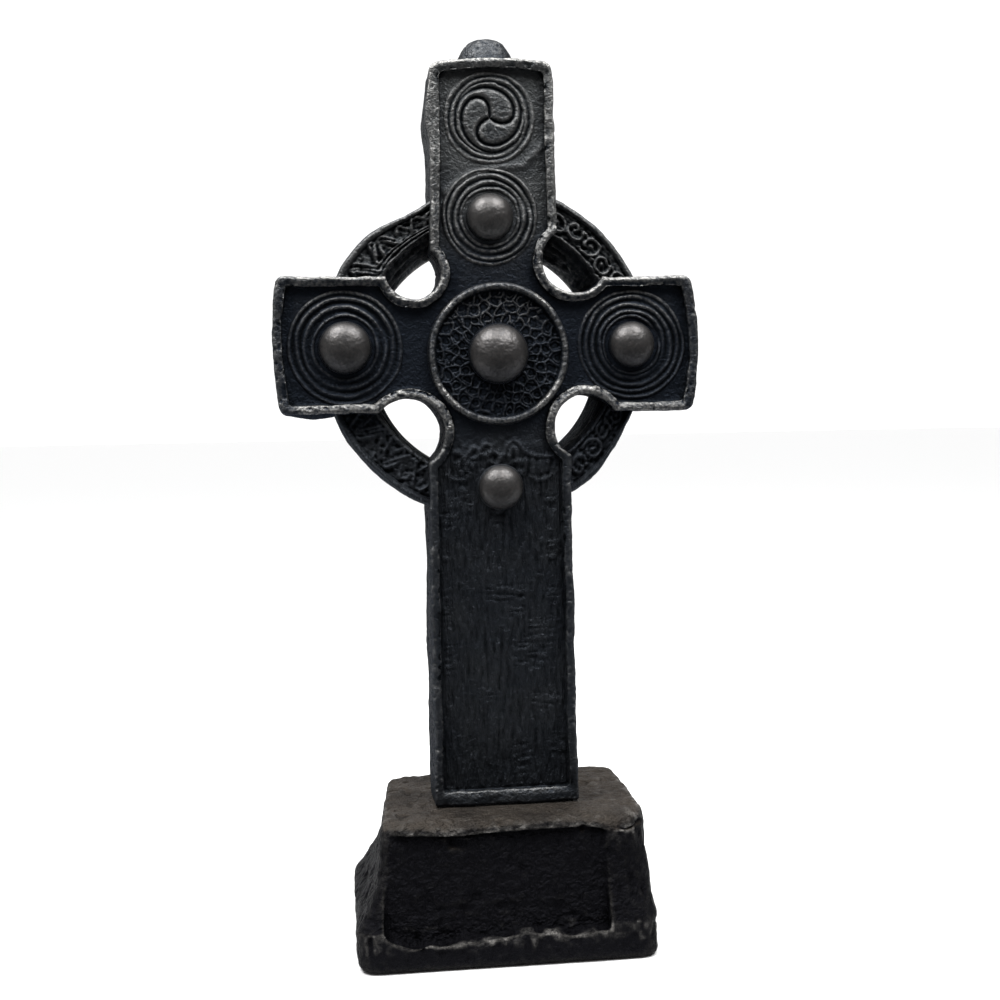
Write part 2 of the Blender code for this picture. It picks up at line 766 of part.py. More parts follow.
def base_corners(share):
    """Corners of the base's plan at a share of its height, from the front left round."""
    rise = max(0.0, (share - BASE_TOE_SHARE) / (1 - BASE_TOE_SHARE))
    flare = (1 - rise) ** BASE_FLARE_POWER
    half_depth = BASE_DEPTH / 2

    def between(top, foot):
        return top + (foot - top) * flare

    left_front = between(BASE_TOP_LEFT_FRONT, BASE_LEFT)
    left_back = between(BASE_TOP_LEFT_BACK, BASE_LEFT)
    right = between(BASE_TOP_RIGHT, BASE_RIGHT)
    front = between(BASE_TOP_FRONT, -half_depth)
    back = between(BASE_TOP_BACK, half_depth)
    return [
        Vector((left_front, front)),
        Vector((right, front)),
        Vector((right, back)),
        Vector((left_back, back)),
    ]


def inset_corners(corners, inset):
    """The same plan drawn in on every side."""
    signs = ((1, 1), (-1, 1), (-1, -1), (1, -1))
    return [
        corner + inset * Vector(sign) for corner, sign in zip(corners, signs)
    ]


def base_sections():
    """The levels of the base, from the ground to the seat, with rounded first and last edges."""
    edge_share = BASE_EDGE_ROUND / BASE_HEIGHT
    toe = BASE_TOE_SHARE
    levels = [
        (0.0, BASE_EDGE_ROUND),
        (edge_share * 0.3, BASE_EDGE_ROUND * 0.3),
        (edge_share, 0.0),
        (toe, 0.0),
        (toe + (1 - toe) * 0.15, 0.0),
        (toe + (1 - toe) * 0.35, 0.0),
        (toe + (1 - toe) * 0.60, 0.0),
        (1 - edge_share, 0.0),
        (1 - edge_share * 0.3, BASE_EDGE_ROUND * 0.3),
        (1.0, BASE_EDGE_ROUND),
    ]
    sections = []
    for share, inset in levels:
        worn = BASE_CORNER_RADIUS
        worn += (BASE_WORN_CORNER_RADIUS - BASE_CORNER_RADIUS) * share
        radii = (BASE_CORNER_RADIUS, worn, BASE_CORNER_RADIUS, BASE_CORNER_RADIUS)
        corners = inset_corners(base_corners(share), inset)
        sections.append(plan_section(share * BASE_HEIGHT, corners, radii))
    return sections


def lofted_solid(name, sections, collection):
    """A closed skin through sections that have the same count of points."""
    shape = bmesh.new()
    rings = [[shape.verts.new(point) for point in section] for section in sections]
    for lower, upper in zip(rings, rings[1:]):
        for i, vert in enumerate(lower):
            j = (i + 1) % len(lower)
            shape.faces.new((vert, lower[j], upper[j], upper[i]))
    shape.faces.new(list(reversed(rings[0])))
    shape.faces.new(rings[-1])
    bmesh.ops.recalc_face_normals(shape, faces=shape.faces)
    mesh = bpy.data.meshes.new(name)
    shape.to_mesh(mesh)
    shape.free()
    return new_object(name, mesh, collection)


def panel_cutter(cutters):
    """The sunk front panel, deeper over the toe than under the lip."""
    high = BASE_HEIGHT - PANEL_LIP
    front_low = base_corners(PANEL_LOW / BASE_HEIGHT)[0].y
    front_high = base_corners(high / BASE_HEIGHT)[0].y
    clear_y = -BASE_DEPTH / 2 - CLEAR
    mesh = bpy.data.meshes.new("front_panel")
    shape = bmesh.new()
    bmesh.ops.create_cube(shape, size=1.0)
    for vert in shape.verts:
        upper = vert.co.z > 0
        deep = front_high + PANEL_DEPTH_HIGH if upper else front_low + PANEL_DEPTH_LOW
        vert.co.x = PANEL_RIGHT if vert.co.x > 0 else PANEL_LEFT
        vert.co.y = deep if vert.co.y > 0 else clear_y
        vert.co.z = high if upper else PANEL_LOW
    shape.to_mesh(mesh)
    shape.free()
    return as_cutter(new_object("front_panel", mesh, cutters))


def build_base(parts, cutters, material):
    """The battered block with its sunk front panel."""
    item = lofted_solid("base", base_sections(), parts)
    add_boolean(item, panel_cutter(cutters), "DIFFERENCE")
    item.data.materials.append(material)
    return item


def cast_material(name, colour, roughness, metallic):
    """A plain coloured, half-metallic cast surface."""
    material = bpy.data.materials.new(name)
    material.use_nodes = True
    shader = material.node_tree.nodes["Principled BSDF"]
    shader.inputs["Base Color"].default_value = (*colour, 1.0)
    shader.inputs["Roughness"].default_value = roughness
    shader.inputs["Metallic"].default_value = metallic
    return material


def cross_material():
    """Near-black cast metal of the cross."""
    return cast_material("dark_cast_metal", (0.030, 0.032, 0.034), 0.45, 0.8)


def base_material():
    """Browner, rougher cast metal of the base."""
    return cast_material("brown_cast_metal", (0.040, 0.036, 0.034), 0.6, 0.6)


def main():
    clear_scene()
    parts = new_collection(OBJECT_NAME)
    cutters = new_collection("cutters")
    build_cross(parts, cutters, cross_material())
    build_base(parts, cutters, base_material())


main()
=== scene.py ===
# %% [markdown]
# # A small cast ring cross
# The cross is one desk-top casting: a flat slab with a raised rim, a ring behind its arms, and
# low carved roundels. It stands on a battered, tooled block. The measured solids are loaded
# first and stay where they are. Every shape below is made in the same place, so nothing has to
# be fitted afterwards.

# %% Load the measured solids
import json
import math

import bpy
import numpy as np
from mathutils import Matrix, Vector

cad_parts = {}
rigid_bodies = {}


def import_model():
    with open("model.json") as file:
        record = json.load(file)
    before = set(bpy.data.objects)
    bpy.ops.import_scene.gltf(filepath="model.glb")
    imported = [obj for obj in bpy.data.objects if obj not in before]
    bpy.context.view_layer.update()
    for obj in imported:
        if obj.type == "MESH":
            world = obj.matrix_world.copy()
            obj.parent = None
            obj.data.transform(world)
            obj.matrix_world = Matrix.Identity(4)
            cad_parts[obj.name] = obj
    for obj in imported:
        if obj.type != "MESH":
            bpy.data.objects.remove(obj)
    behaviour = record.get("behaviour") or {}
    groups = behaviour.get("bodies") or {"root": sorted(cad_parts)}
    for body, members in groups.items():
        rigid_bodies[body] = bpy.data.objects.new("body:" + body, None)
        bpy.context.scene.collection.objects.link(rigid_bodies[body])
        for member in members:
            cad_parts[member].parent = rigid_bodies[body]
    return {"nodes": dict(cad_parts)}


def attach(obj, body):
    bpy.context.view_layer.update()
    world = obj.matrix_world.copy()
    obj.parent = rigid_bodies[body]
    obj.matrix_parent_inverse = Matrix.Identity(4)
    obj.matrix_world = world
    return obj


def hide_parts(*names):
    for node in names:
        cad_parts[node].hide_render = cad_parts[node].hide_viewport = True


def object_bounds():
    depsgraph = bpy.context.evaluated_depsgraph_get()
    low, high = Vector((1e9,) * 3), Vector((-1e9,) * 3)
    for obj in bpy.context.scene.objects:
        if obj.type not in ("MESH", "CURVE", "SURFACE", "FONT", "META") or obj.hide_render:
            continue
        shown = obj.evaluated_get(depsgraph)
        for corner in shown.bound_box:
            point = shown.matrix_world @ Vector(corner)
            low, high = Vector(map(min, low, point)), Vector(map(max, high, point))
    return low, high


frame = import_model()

cad_box = [list(corner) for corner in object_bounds()]
print("solids:", sorted(frame["nodes"]), "box:", cad_box)

# %% [markdown]
# Lengths below are written in millimetres, because that is how a casting this small is
# measured. Blender works in metres, so one constant turns one into the other. A few helpers
# select a piece, apply its modifiers, and read or write its points as one table of numbers.

# %% Small helpers for pieces
MM = 0.001


def choose(piece):
    """Make one piece the only selected and active object."""
    bpy.ops.object.select_all(action="DESELECT")
    piece.select_set(True)
    bpy.context.view_layer.objects.active = piece


def new_piece(name, points, edges=(), faces=()):
    """A mesh object from points in millimetres."""
    mesh = bpy.data.meshes.new(name)
    mesh.from_pydata([[value * MM for value in point] for point in points], edges, faces)
    piece = bpy.data.objects.new(name, mesh)
    bpy.context.scene.collection.objects.link(piece)
    choose(piece)
    return piece


def apply_modifier(piece, kind, **settings):
    """Add one modifier, set it and apply it at once."""
    choose(piece)
    modifier = piece.modifiers.new(kind.lower(), kind)
    for name, value in settings.items():
        setattr(modifier, name, value)
    bpy.ops.object.modifier_apply(modifier=modifier.name)


def read_points(piece):
    """All points of a mesh, in millimetres."""
    flat = np.empty(len(piece.data.vertices) * 3, np.float32)
    piece.data.vertices.foreach_get("co", flat)
    return flat.reshape(-1, 3).astype(float) / MM


def write_points(piece, points):
    """Put moved points back."""
    piece.data.vertices.foreach_set("co", (points * MM).astype(np.float32).ravel())
    piece.data.update()


def read_normals(piece):
    """The outward direction at every point."""
    flat = np.empty(len(piece.data.vertices) * 3, np.float32)
    piece.data.vertex_normals.foreach_get("vector", flat)
    return flat.reshape(-1, 3).astype(float)


def triangles(piece):
    """How many triangles a mesh makes."""
    return sum(len(face.vertices) - 2 for face in piece.data.polygons)


print("helpers ready")

# %% [markdown]
# Nothing on a worn casting is straight or even. The unevenness is smooth random noise with a
# real size in millimetres: a lattice of random heights, blended between its points. The numbers
# come from the lattice place itself, so every run gives the same surface.

# %% Random unevenness with a real size
def noise(points, size, seed):
    """Smooth random hills from -1 to 1 with one hill every few millimetres."""
    cell = points / np.asarray(size, float) + seed * 17.31
    low = np.floor(cell).astype(np.int64)
    share = cell - low
    share = share * share * (3 - 2 * share)
    total = np.zeros(len(points))
    for corner in np.ndindex(*(2,) * points.shape[1]):
        primes = np.array([73856093, 19349663, 83492791])[: points.shape[1]]
        key = (low + corner) @ primes
        key = (key ^ (key >> 13)) * 1274126177 & 0x7FFFFFFF
        key = (key ^ (key >> 15)) * 374761393 & 0x7FFFFFFF
        value = ((key >> 8) & 0xFFFF) / 32767.5 - 1
        weight = np.prod(np.where(corner, share, 1 - share), axis=1)
        total += value * weight
    return total


def rough(points, size, seed, layers=3):
    """Noise with finer and lower hills laid over it."""
    return sum(noise(points, size / 2**i, seed + i) / 2**i for i in range(layers)) / 1.6


def ramp(value, start, end):
    """0 before start, 1 after end, and a smooth step between."""
    share = np.clip((value - start) / (end - start), 0, 1)
    return share * share * (3 - 2 * share)


def pair(one, other):
    """Two rows of numbers as a table of places."""
    return np.stack([one, other], axis=1)


def hill(offset, width):
    """1 in the middle, and softly down to 0 on both sides."""
    return np.exp(-((offset / width) ** 2))


def line_distance(x, z, line):
    """How far each place is from a line drawn through points."""
    best = np.full(len(x), 1e9)
    for (x0, z0), (x1, z1) in zip(line, line[1:]):
        run_x, run_z = x1 - x0, z1 - z0
        along = ((x - x0) * run_x + (z - z0) * run_z) / (run_x**2 + run_z**2 + 1e-12)
        along = np.clip(along, 0, 1)
        best = np.minimum(best, np.hypot(x - x0 - along * run_x, z - z0 - along * run_z))
    return best


print("noise ready")

# %% [markdown]
# ## The outline of the cross
# The face is drawn from its sizes, as a maker would with ruler and compass: straight arms that
# flare a little, swelling ends, and a round hollow at each armpit. The same drawing, drawn in by
# the width of the rim, gives the sunk field. All four hollows differ, because the real cross was
# modelled by hand.

# %% Draw the outline
TOP = 200.0
ARM_SPAN = 93.9
CROSSING = Vector((2.3, 132.6))
HALF_THICK = 8.0
RIM_TOP_Z = 194.4
FOOT_Z = 30.3
HOLLOWS = (
    (-1, 1, 3.9, 1.0, 6.1),
    (1, 1, 3.6, 3.7, 7.2),
    (-1, -1, 4.2, 4.5, 7.9),
    (1, -1, 3.5, 3.2, 7.2),
)
FOOT_WIDTH, SHAFT_WIDTH, NECK_WIDTH, TOP_WIDTH = 32.5, 31.6, 29.1, 26.5
NECK_LEAN, TOP_LEAN = -0.4, -0.6
ARM_END_HEIGHT, ARM_NECK_HEIGHT = 29.6, 29.8
ARM_RISE = {-1: 0.2, 1: -0.2}
ARM_CORNER, TOP_CORNER = 1.8, 2.4
TOP_BULGE, ARM_END_BULGE = 0.9, 1.3
ARC_STEPS = 24


def meet(a, b, c, d):
    """Where the straight lines a-b and c-d cross."""
    share = (c - a).cross(d - c) / (b - a).cross(d - c)
    return a + (b - a) * share


def arm_edge(side, level, inset):
    """Outer and inner end of a side arm's edge."""
    outer_x = side * (ARM_SPAN / 2 - ARM_END_BULGE - inset)
    middle = CROSSING.y + ARM_RISE[side]
    outer = Vector((outer_x, middle + level * (ARM_END_HEIGHT / 2 - inset)))
    return outer, Vector((CROSSING.x, middle + level * (ARM_NECK_HEIGHT / 2 - inset)))


def shaft_edge(side, level, inset, foot_inset):
    """Outer and inner end of the shaft's or upper arm's edge."""
    far, near = (TOP_WIDTH, NECK_WIDTH) if level > 0 else (FOOT_WIDTH, SHAFT_WIDTH)
    far_lean, near_lean = (TOP_LEAN, NECK_LEAN) if level > 0 else (0.0, 0.0)
    far_z = RIM_TOP_Z - TOP_BULGE - inset if level > 0 else FOOT_Z + foot_inset
    outer = Vector((CROSSING.x + far_lean + side * (far / 2 - inset), far_z))
    inner_x = CROSSING.x + near_lean + side * (near / 2 - inset)
    return outer, Vector((inner_x, CROSSING.y))


def meet_circle(far, near, centre, radius):
    """Where the line from far to near first meets a circle."""
    run = (near - far).normalized()
    along = (far - centre).dot(run)
    reach = math.sqrt(along**2 - (far - centre).length_squared + radius**2)
    return far + run * (-along - reach)


def hollow(sizes, inset, foot_inset):
    """The round hollow at one armpit, from the arm's edge to the shaft's edge."""
    side, level, out, up, radius = sizes
    corner = meet(*arm_edge(side, level, 0), *shaft_edge(side, level, 0, 0))
    centre = corner + Vector((side * out, level * up))
    radius += inset
    start = meet_circle(*arm_edge(side, level, inset), centre, radius) - centre
    end = meet_circle(*shaft_edge(side, level, inset, foot_inset), centre, radius) - centre
    inward = math.atan2(-level, -side)
    turns = [
        (math.atan2(p.y, p.x) - inward + math.pi) % math.tau - math.pi for p in (start, end)
    ]
    angles = [inward + turns[0] + (turns[1] - turns[0]) * i / ARC_STEPS for i in range(ARC_STEPS + 1)]
    return [centre + radius * Vector((math.cos(a), math.sin(a))) for a in angles]


def rounded(before, corner, after, radius):
    """A corner rounded with seven points."""
    to_before, to_after = (before - corner).normalized(), (after - corner).normalized()
    half = to_before.angle(to_after) / 2
    middle = corner + (to_before + to_after).normalized() * radius / math.sin(half)
    start = corner + to_before * radius / math.tan(half) - middle
    end = corner + to_after * radius / math.tan(half) - middle
    sweep = start.angle_signed(end)
    return [middle + Matrix.Rotation(-sweep * i / 6, 2) @ start for i in range(7)]


def arm_end(start, end, before, after, bulge, radius):
    """Two rounded corners with a swelling edge between them."""
    outward = Vector((end.y - start.y, start.x - end.x)).normalized()
    shares = [i / 10 for i in range(1, 10)]
    between = [
        start.lerp(end, share) + outward * bulge * (1 - (2 * share - 1) ** 2) for share in shares
    ]
    return (
        rounded(before, start, between[0], radius)
        + between
        + rounded(between[-1], end, after, radius)
    )


def cross_outline(inset, foot_inset):
    """The whole face, counterclockwise from the right of the foot."""
    up_left, up_right, low_left, low_right = [hollow(h, inset, foot_inset) for h in HOLLOWS]
    foot = [shaft_edge(side, -1, inset, foot_inset)[0] for side in (-1, 1)]
    top = [shaft_edge(side, 1, inset, foot_inset)[0] for side in (-1, 1)]
    right = [arm_edge(1, level, inset)[0] for level in (-1, 1)]
    left = [arm_edge(-1, level, inset)[0] for level in (-1, 1)]
    small, large = max(ARM_CORNER - inset, 0.9), max(TOP_CORNER - inset, 0.9)
    points = rounded(foot[0], foot[1], low_right[-1], 0.8) + low_right[::-1]
    points += arm_end(right[0], right[1], low_right[0], up_right[0], ARM_END_BULGE, small)
    points += up_right
    points += arm_end(top[1], top[0], up_right[-1], up_left[-1], TOP_BULGE, large)
    points += up_left[::-1]
    points += arm_end(left[1], left[0], up_left[0], low_left[0], ARM_END_BULGE, small)
    points += low_left
    return points + rounded(low_left[-1], foot[0], foot[1], 0.8)


print("outline points:", len(cross_outline(0, 0)))

# %% [markdown]
# ## The body of the cross
# On the real thing the body, rim and fields are one pour of metal. Here it starts as a flat
# outline that is extruded to its thickness. The sunk fields are cut out of it on both faces, as
# a modeller scrapes clay away inside the rim, and the small cap is turned and set on top.
# A voxel remesh then fuses all of it into one even skin of small faces that can be worn down.

# %% Make the slab, the sunk fields and the cap
FIELD_Y = -6.4
BACK_FIELD_Y = 7.0
RIM_WIDTH = 2.0
FOOT_RIM_WIDTH = 3.2


def slab(name, outline, front, back):
    """An outline in X and Z, extruded from the front to the back."""
    points = [(p.x, front, p.y) for p in outline]
    piece = new_piece(name, points, faces=[range(len(points))])
    bpy.ops.object.mode_set(mode="EDIT")
    bpy.ops.mesh.select_all(action="SELECT")
    move = {"value": (0, (back - front) * MM, 0)}
    bpy.ops.mesh.extrude_region_move(TRANSFORM_OT_translate=move)
    bpy.ops.mesh.select_all(action="SELECT")
    bpy.ops.mesh.normals_make_consistent(inside=False)
    bpy.ops.object.mode_set(mode="OBJECT")
    return piece


def turned(name, profile, steps, centre, axis):
    """A profile of radius and height, spun round an axis through a centre."""
    along = Vector(axis)
    out = Vector((1, 0, 0))
    points = [Vector(centre) + out * radius + along * height for radius, height in profile]
    piece = new_piece(name, points, edges=[(i, i + 1) for i in range(len(points) - 1)])
    bpy.ops.object.mode_set(mode="EDIT")
    bpy.ops.mesh.select_all(action="SELECT")
    middle = [value * MM for value in centre]
    bpy.ops.mesh.spin(steps=steps, angle=math.tau, center=middle, axis=axis)
    bpy.ops.mesh.select_all(action="SELECT")
    bpy.ops.mesh.remove_doubles(threshold=0.005 * MM)
    bpy.ops.mesh.select_all(action="SELECT")
    bpy.ops.mesh.normals_make_consistent(inside=False)
    bpy.ops.object.mode_set(mode="OBJECT")
    return piece


VOXEL = 0.32
CAP_X = 1.3
CAP_PROFILE = (
    (0, 5.5), (1.4, 5.48), (2.8, 5.2), (4.0, 4.5), (5.0, 3.2), (5.8, 1.7), (6.2, 0.3),
    (6.3, -0.5), (6.3, -3.0), (0, -3.0),
)

body = slab("cross_body", cross_outline(0, 0), -HALF_THICK, HALF_THICK)
apply_modifier(body, "BEVEL", width=0.5 * MM, segments=2, limit_method="ANGLE", angle_limit=1.0)
field_line = cross_outline(RIM_WIDTH, FOOT_RIM_WIDTH)
field_edge = [tuple(point) for point in field_line + field_line[:1]]
for near, far in ((-HALF_THICK - 2, FIELD_Y), (BACK_FIELD_Y, HALF_THICK + 2)):
    cutter = slab("field_cutter", field_line, near, far)
    apply_modifier(body, "BOOLEAN", operation="DIFFERENCE", object=cutter, solver="EXACT")
    bpy.data.objects.remove(cutter)
cap = turned("cap", CAP_PROFILE, 48, (CAP_X, 0, RIM_TOP_Z), (0, 0, 1))
apply_modifier(body, "BOOLEAN", operation="UNION", object=cap, solver="EXACT")
bpy.data.objects.remove(cap)
apply_modifier(body, "REMESH", mode="VOXEL", voxel_size=VOXEL * MM)
print("body after the remesh:", len(body.data.vertices), "points")

# %% [markdown]
# ## Wear and relief on the body
# A hand-modelled rim is never level: it swells, dips and is pitted, and its crest is rounded by
# years of touch. Each point of the skin is moved along its own outward direction by noise, more
# on the rim than in the field. The faint strokes in the long field are the modeller's tool
# marks, mostly upright, and the motif under the great roundel is a few low ridges drawn as
# lines. The skin is thinned last, twice: first the plain sides and back alone, where nothing
# small is lost, and then all of it to a fixed count of triangles.

# %% Shape the rim, the field and the motif
MOTIF = (
    ((-12.5, 109.5), (-10.1, 109.1), (-8.1, 109.3), (-6.5, 108.6), (-5.7, 107.4)),
    ((-5.7, 107.4), (-4.7, 109.0), (-3.5, 110.2), (-2.3, 109.4), (-2.5, 108.0), (-3.7, 107.6)),
    ((-2.3, 109.4), (-1.0, 110.8), (0.4, 110.4), (0.5, 109.0), (-0.7, 108.2), (-1.7, 108.6)),
    ((0.5, 109.0), (1.9, 108.6), (2.3, 107.2), (1.3, 106.2), (0.0, 106.8)),
    ((2.3, 107.2), (3.3, 108.8), (4.1, 110.6), (5.3, 111.6), (6.5, 110.8), (7.5, 109.2)),
    ((7.5, 109.2), (9.1, 108.2), (11.1, 107.9), (14.5, 107.8)),
    ((4.2, 107.4), (4.6, 109.4), (5.4, 110.2), (6.1, 109.0), (5.9, 107.2), (5.1, 106.6)),
    ((-9.7, 104.2), (-8.3, 103.2), (-6.5, 102.9), (-5.1, 103.3), (-4.1, 104.2)),
    ((8.9, 103.4), (10.5, 102.6), (12.3, 102.7), (13.7, 103.6)),
    ((-6.7, 107.4), (-7.1, 105.4), (-6.3, 104.4)),
    ((-4.9, 106.8), (-5.5, 105.4), (-4.7, 104.6)),
    ((-3.5, 106.6), (-3.9, 105.6)),
    ((8.1, 107.2), (7.9, 105.0), (7.3, 104.0)),
    ((9.7, 106.8), (9.5, 104.4)),
    ((11.3, 106.6), (11.5, 104.6)),
    ((13.1, 106.8), (12.9, 104.8)),
)
MOTIF_HEIGHT, MOTIF_WIDTH = 0.42, 0.40
LONG_FIELD_TOP = 112
STROKE_DEPTH = 0.27
RIM_FRONT = -7.2
SIDE_BULGE_AT, SIDE_BULGE = 182.5, 1.1
LIP_AT, LIP_DROP = -38.5, 1.1
THINNED_BEHIND, SIDE_SHARE = -4.0, 0.62
BODY_LIMIT = 196000
WEB = ((13.2, 176.0), (8.4, 171.6), (1.6, 170.9), (-4.0, 169.0), (-8.6, 165.8))


def tool_marks(x, z):
    """Shallow strokes in the long field: upright ones, with a few across them."""
    place = pair(x, z)
    bend = place + 0.3 * pair(noise(place, 3.0, 61), noise(place, 3.0, 62))
    upright = noise(bend, (0.42, 2.8), 41) + 0.4 * noise(bend, (0.7, 5.5), 45)
    across = noise(bend, (2.4, 0.42), 43)
    patch = ramp(noise(place, 4.0, 47), -0.1, 0.6)
    return upright * (1 - 0.5 * patch) + across * patch


points = read_points(body)
outward = read_normals(body)
x, y, z = points.T
edge = line_distance(x, z, field_edge)
near_front = y < FIELD_Y + 1
on_field = near_front & (y > FIELD_Y - 0.25) & (outward[:, 1] < -0.7) & (edge > 0.35)
on_shaft = on_field & (z < LONG_FIELD_TOP)
on_rim = (y < RIM_FRONT) & (outward[:, 1] < -0.3)

wear = 0.16 * rough(points, 3.2, 3) + 0.07 * rough(points, 0.9, 5)
pits = -0.22 * ramp(noise(points, 0.8, 9), 0.35, 0.80)
amount = np.where(on_field, 0.2, 1.0)
points += outward * ((wear + pits * (~on_field)) * amount)[:, None]

wave = 0.30 * noise(points, 7.0, 21) + 0.16 * noise(points, 2.8, 23)
crown = ramp(edge, 0.0, 1.3) * 0.35 - 0.2
points[:, 1] -= np.where(on_rim, wave + crown, 0)
points[:, 0] += 0.28 * noise(points, 9.0, 25) + 0.16 * noise(points, 3.0, 26)
points[:, 2] += 0.28 * noise(points, 9.0, 27) + 0.16 * noise(points, 3.0, 28)

strokes = tool_marks(x, z) * STROKE_DEPTH * ramp(edge, 0.2, 1.4)
strokes = strokes * ramp(LONG_FIELD_TOP - z, 0, 6)
points[:, 1] -= np.where(on_shaft, strokes, 0)
motif = np.full(len(x), 1e9)
for line in MOTIF:
    motif = np.minimum(motif, line_distance(x, z, line))
relief = MOTIF_HEIGHT * hill(motif, MOTIF_WIDTH)
relief += 0.22 * rough(points, 1.3, 29) * ramp(113.5 - z, 0, 2) * ramp(z - 104, 0, 2)
web = line_distance(x, z, WEB)
relief += 0.35 * hill(web, 0.9)
points[:, 1] -= np.where(on_field, relief, 0)

bulge = SIDE_BULGE * hill(z - SIDE_BULGE_AT, 5.0) * ramp(-outward[:, 0], 0.2, 0.8)
points[:, 0] -= np.where((x < -9) & (z > 168), bulge, 0)
lower_lip = hill(x - LIP_AT, 5.0) * ramp(-outward[:, 2], 0.3, 0.8)
points[:, 2] -= np.where((z > 112) & (z < 122) & (y > -4), LIP_DROP * lower_lip, 0)

low, high = np.array(cad_box) / MM
points[:, 2] = np.clip(points[:, 2], FOOT_Z, TOP)
points = np.clip(points, low - 0.4, high + 0.4)
write_points(body, points)
count = triangles(body)
hidden = body.vertex_groups.new(name="hidden_sides")
hidden.add([int(i) for i in np.flatnonzero(points[:, 1] > THINNED_BEHIND)], 1.0, "REPLACE")
apply_modifier(body, "DECIMATE", ratio=SIDE_SHARE, vertex_group="hidden_sides")
apply_modifier(body, "DECIMATE", ratio=min(1.0, BODY_LIMIT / triangles(body)))
print("body:", count, "triangles, thinned to", triangles(body))

# %% [markdown]
# ## Roundels and bosses
# Each arm carries a domed boss inside thin concentric ridges. On the real cross these were
# pressed and scribed with a turning tool, so a spun profile suits them: its faces follow the
# ridges, which stay crisp. The spin makes a plain disc of fine rings, and its top is then raised
# to the height that a formula gives for each radius and angle. Its edge dives under the field,
# so the roundel seems to grow out of it.

# %% A disc that a formula raises
def raised_disc(name, centre, reach, step, turns, height, sink=0.8, front=True):
    """A fine spun disc on the face, whose top follows height(radius, angle)."""
    count = round(reach / step)
    rings = [reach * i / count for i in range(count + 1)]
    profile = [(radius, 0.0) for radius in rings] + [(reach, -sink), (0, -sink)]
    level = FIELD_Y if front else BACK_FIELD_Y
    axis = (0, -1, 0) if front else (0, 1, 0)
    piece = turned(name, profile, turns, (centre[0], level, centre[1]), axis)
    points = read_points(piece)
    out = (level - points[:, 1]) * (1 if front else -1)
    across, up = points[:, 0] - centre[0], points[:, 2] - centre[1]
    radius, angle = np.hypot(across, up), np.arctan2(up, across)
    lifted = np.where(out > -0.01, height(radius, angle), out)
    points[:, 1] = level - lifted if front else level + lifted
    write_points(piece, points)
    return piece


def dome(radius, size, rise):
    """Height of a dome, nearly a half sphere."""
    share = np.clip(radius / size, 0, 1)
    return rise * np.sqrt(np.clip(1 - share**2.1, 0, 1))


def hammered(radius, angle, seed, depth):
    """Small dents and grain on a boss."""
    place = pair(radius * np.cos(angle), radius * np.sin(angle))
    return depth * (0.6 * rough(place, 2.2, seed) + 0.5 * rough(place, 0.7, seed + 5, 2))


def ridges(radius, angle, crests, height, seed):
    """Thin wobbling ridges at given radii, some of them rubbed away in places."""
    circle = pair(np.cos(angle), np.sin(angle)) * 6.0
    total = np.zeros(len(radius))
    for i, crest in enumerate(crests):
        line = crest + 0.30 * noise(circle, 4.0, seed + i) + 0.12 * noise(circle, 1.3, seed + 20 + i)
        strength = 0.72 + 0.50 * noise(circle, 3.4, seed + 40 + i)
        width = 0.52 + 0.12 * noise(circle, 2.2, seed + 60 + i)
        bead = hill(radius - line, width)
        total = np.maximum(total, height * np.clip(strength, 0.15, 1.1) * bead)
    return total


def sunk_edge(radius, reach, depth=0.6):
    """A disc's edge that dives under the field, so that no border shows."""
    return depth * (ramp(reach - radius, -0.2, 1.5) - 1)


def ridged_boss(size, rise, crests, reach, seed):
    """Height of a boss inside its ridges."""

    def height(radius, angle):
        place = pair(radius * np.cos(angle), radius * np.sin(angle))
        moat = -0.45 * hill(radius - size - 0.45, 0.5)
        grooves = ridges(radius, angle, crests, 0.58, seed)
        ground = 0.06 + moat + grooves + 0.05 * rough(place, 1.2, seed + 70)
        boss = dome(radius, size, rise) + hammered(radius, angle, seed, 0.09)
        return np.where(radius < size, np.maximum(boss, 0), ground + sunk_edge(radius, reach))

    return height


RIDGED = {
    "top_boss": ((1.0, 160.4), 5.2, 4.4, (6.2, 7.5, 8.9, 10.2), 11.4, 11),
    "left_boss": ((-31.2, 132.3), 5.8, 4.7, (6.9, 8.7, 10.5, 12.2), 13.2, 12),
    "right_boss": ((32.2, 132.3), 5.2, 4.4, (6.1, 7.2, 8.8, 10.4, 11.8), 13.0, 13),
    "low_boss": ((2.3, 101.2), 5.1, 4.2, (), 6.4, 14),
}
STEP = 0.15
bosses = []
for name, (centre, size, rise, crests, reach, seed) in RIDGED.items():
    shape = ridged_boss(size, rise, crests, reach, seed)
    turns = round(math.tau * reach * 0.7 / (STEP * 1.6))
    bosses.append(raised_disc(name, centre, reach, STEP, turns, shape))
    print(name, triangles(bosses[-1]), "triangles")

# %% [markdown]
# ## The triskele
# Three comma lobes turn round one centre, a pattern that is thousands of years old. It is easier
# to draw the grooves than the lobes: each groove starts at the centre, runs out, and then winds
# round to the left. Three copies, a third of a turn apart, leave the lobes standing between them.

# %% Raise the triskele
TRISKELE_CENTRE, TRISKELE_REACH = (1.3, 181.8), 11.2
GROOVE_START = -32.0
GROOVE = (
    (-6, 0.0), (0, 1.2), (4, 2.3), (12, 3.4), (22, 4.4), (35, 5.2), (50, 5.7), (70, 6.0),
    (90, 6.15), (110, 6.3), (130, 6.55), (152, 6.9), (172, 7.3), (195, 7.55), (225, 7.65),
)


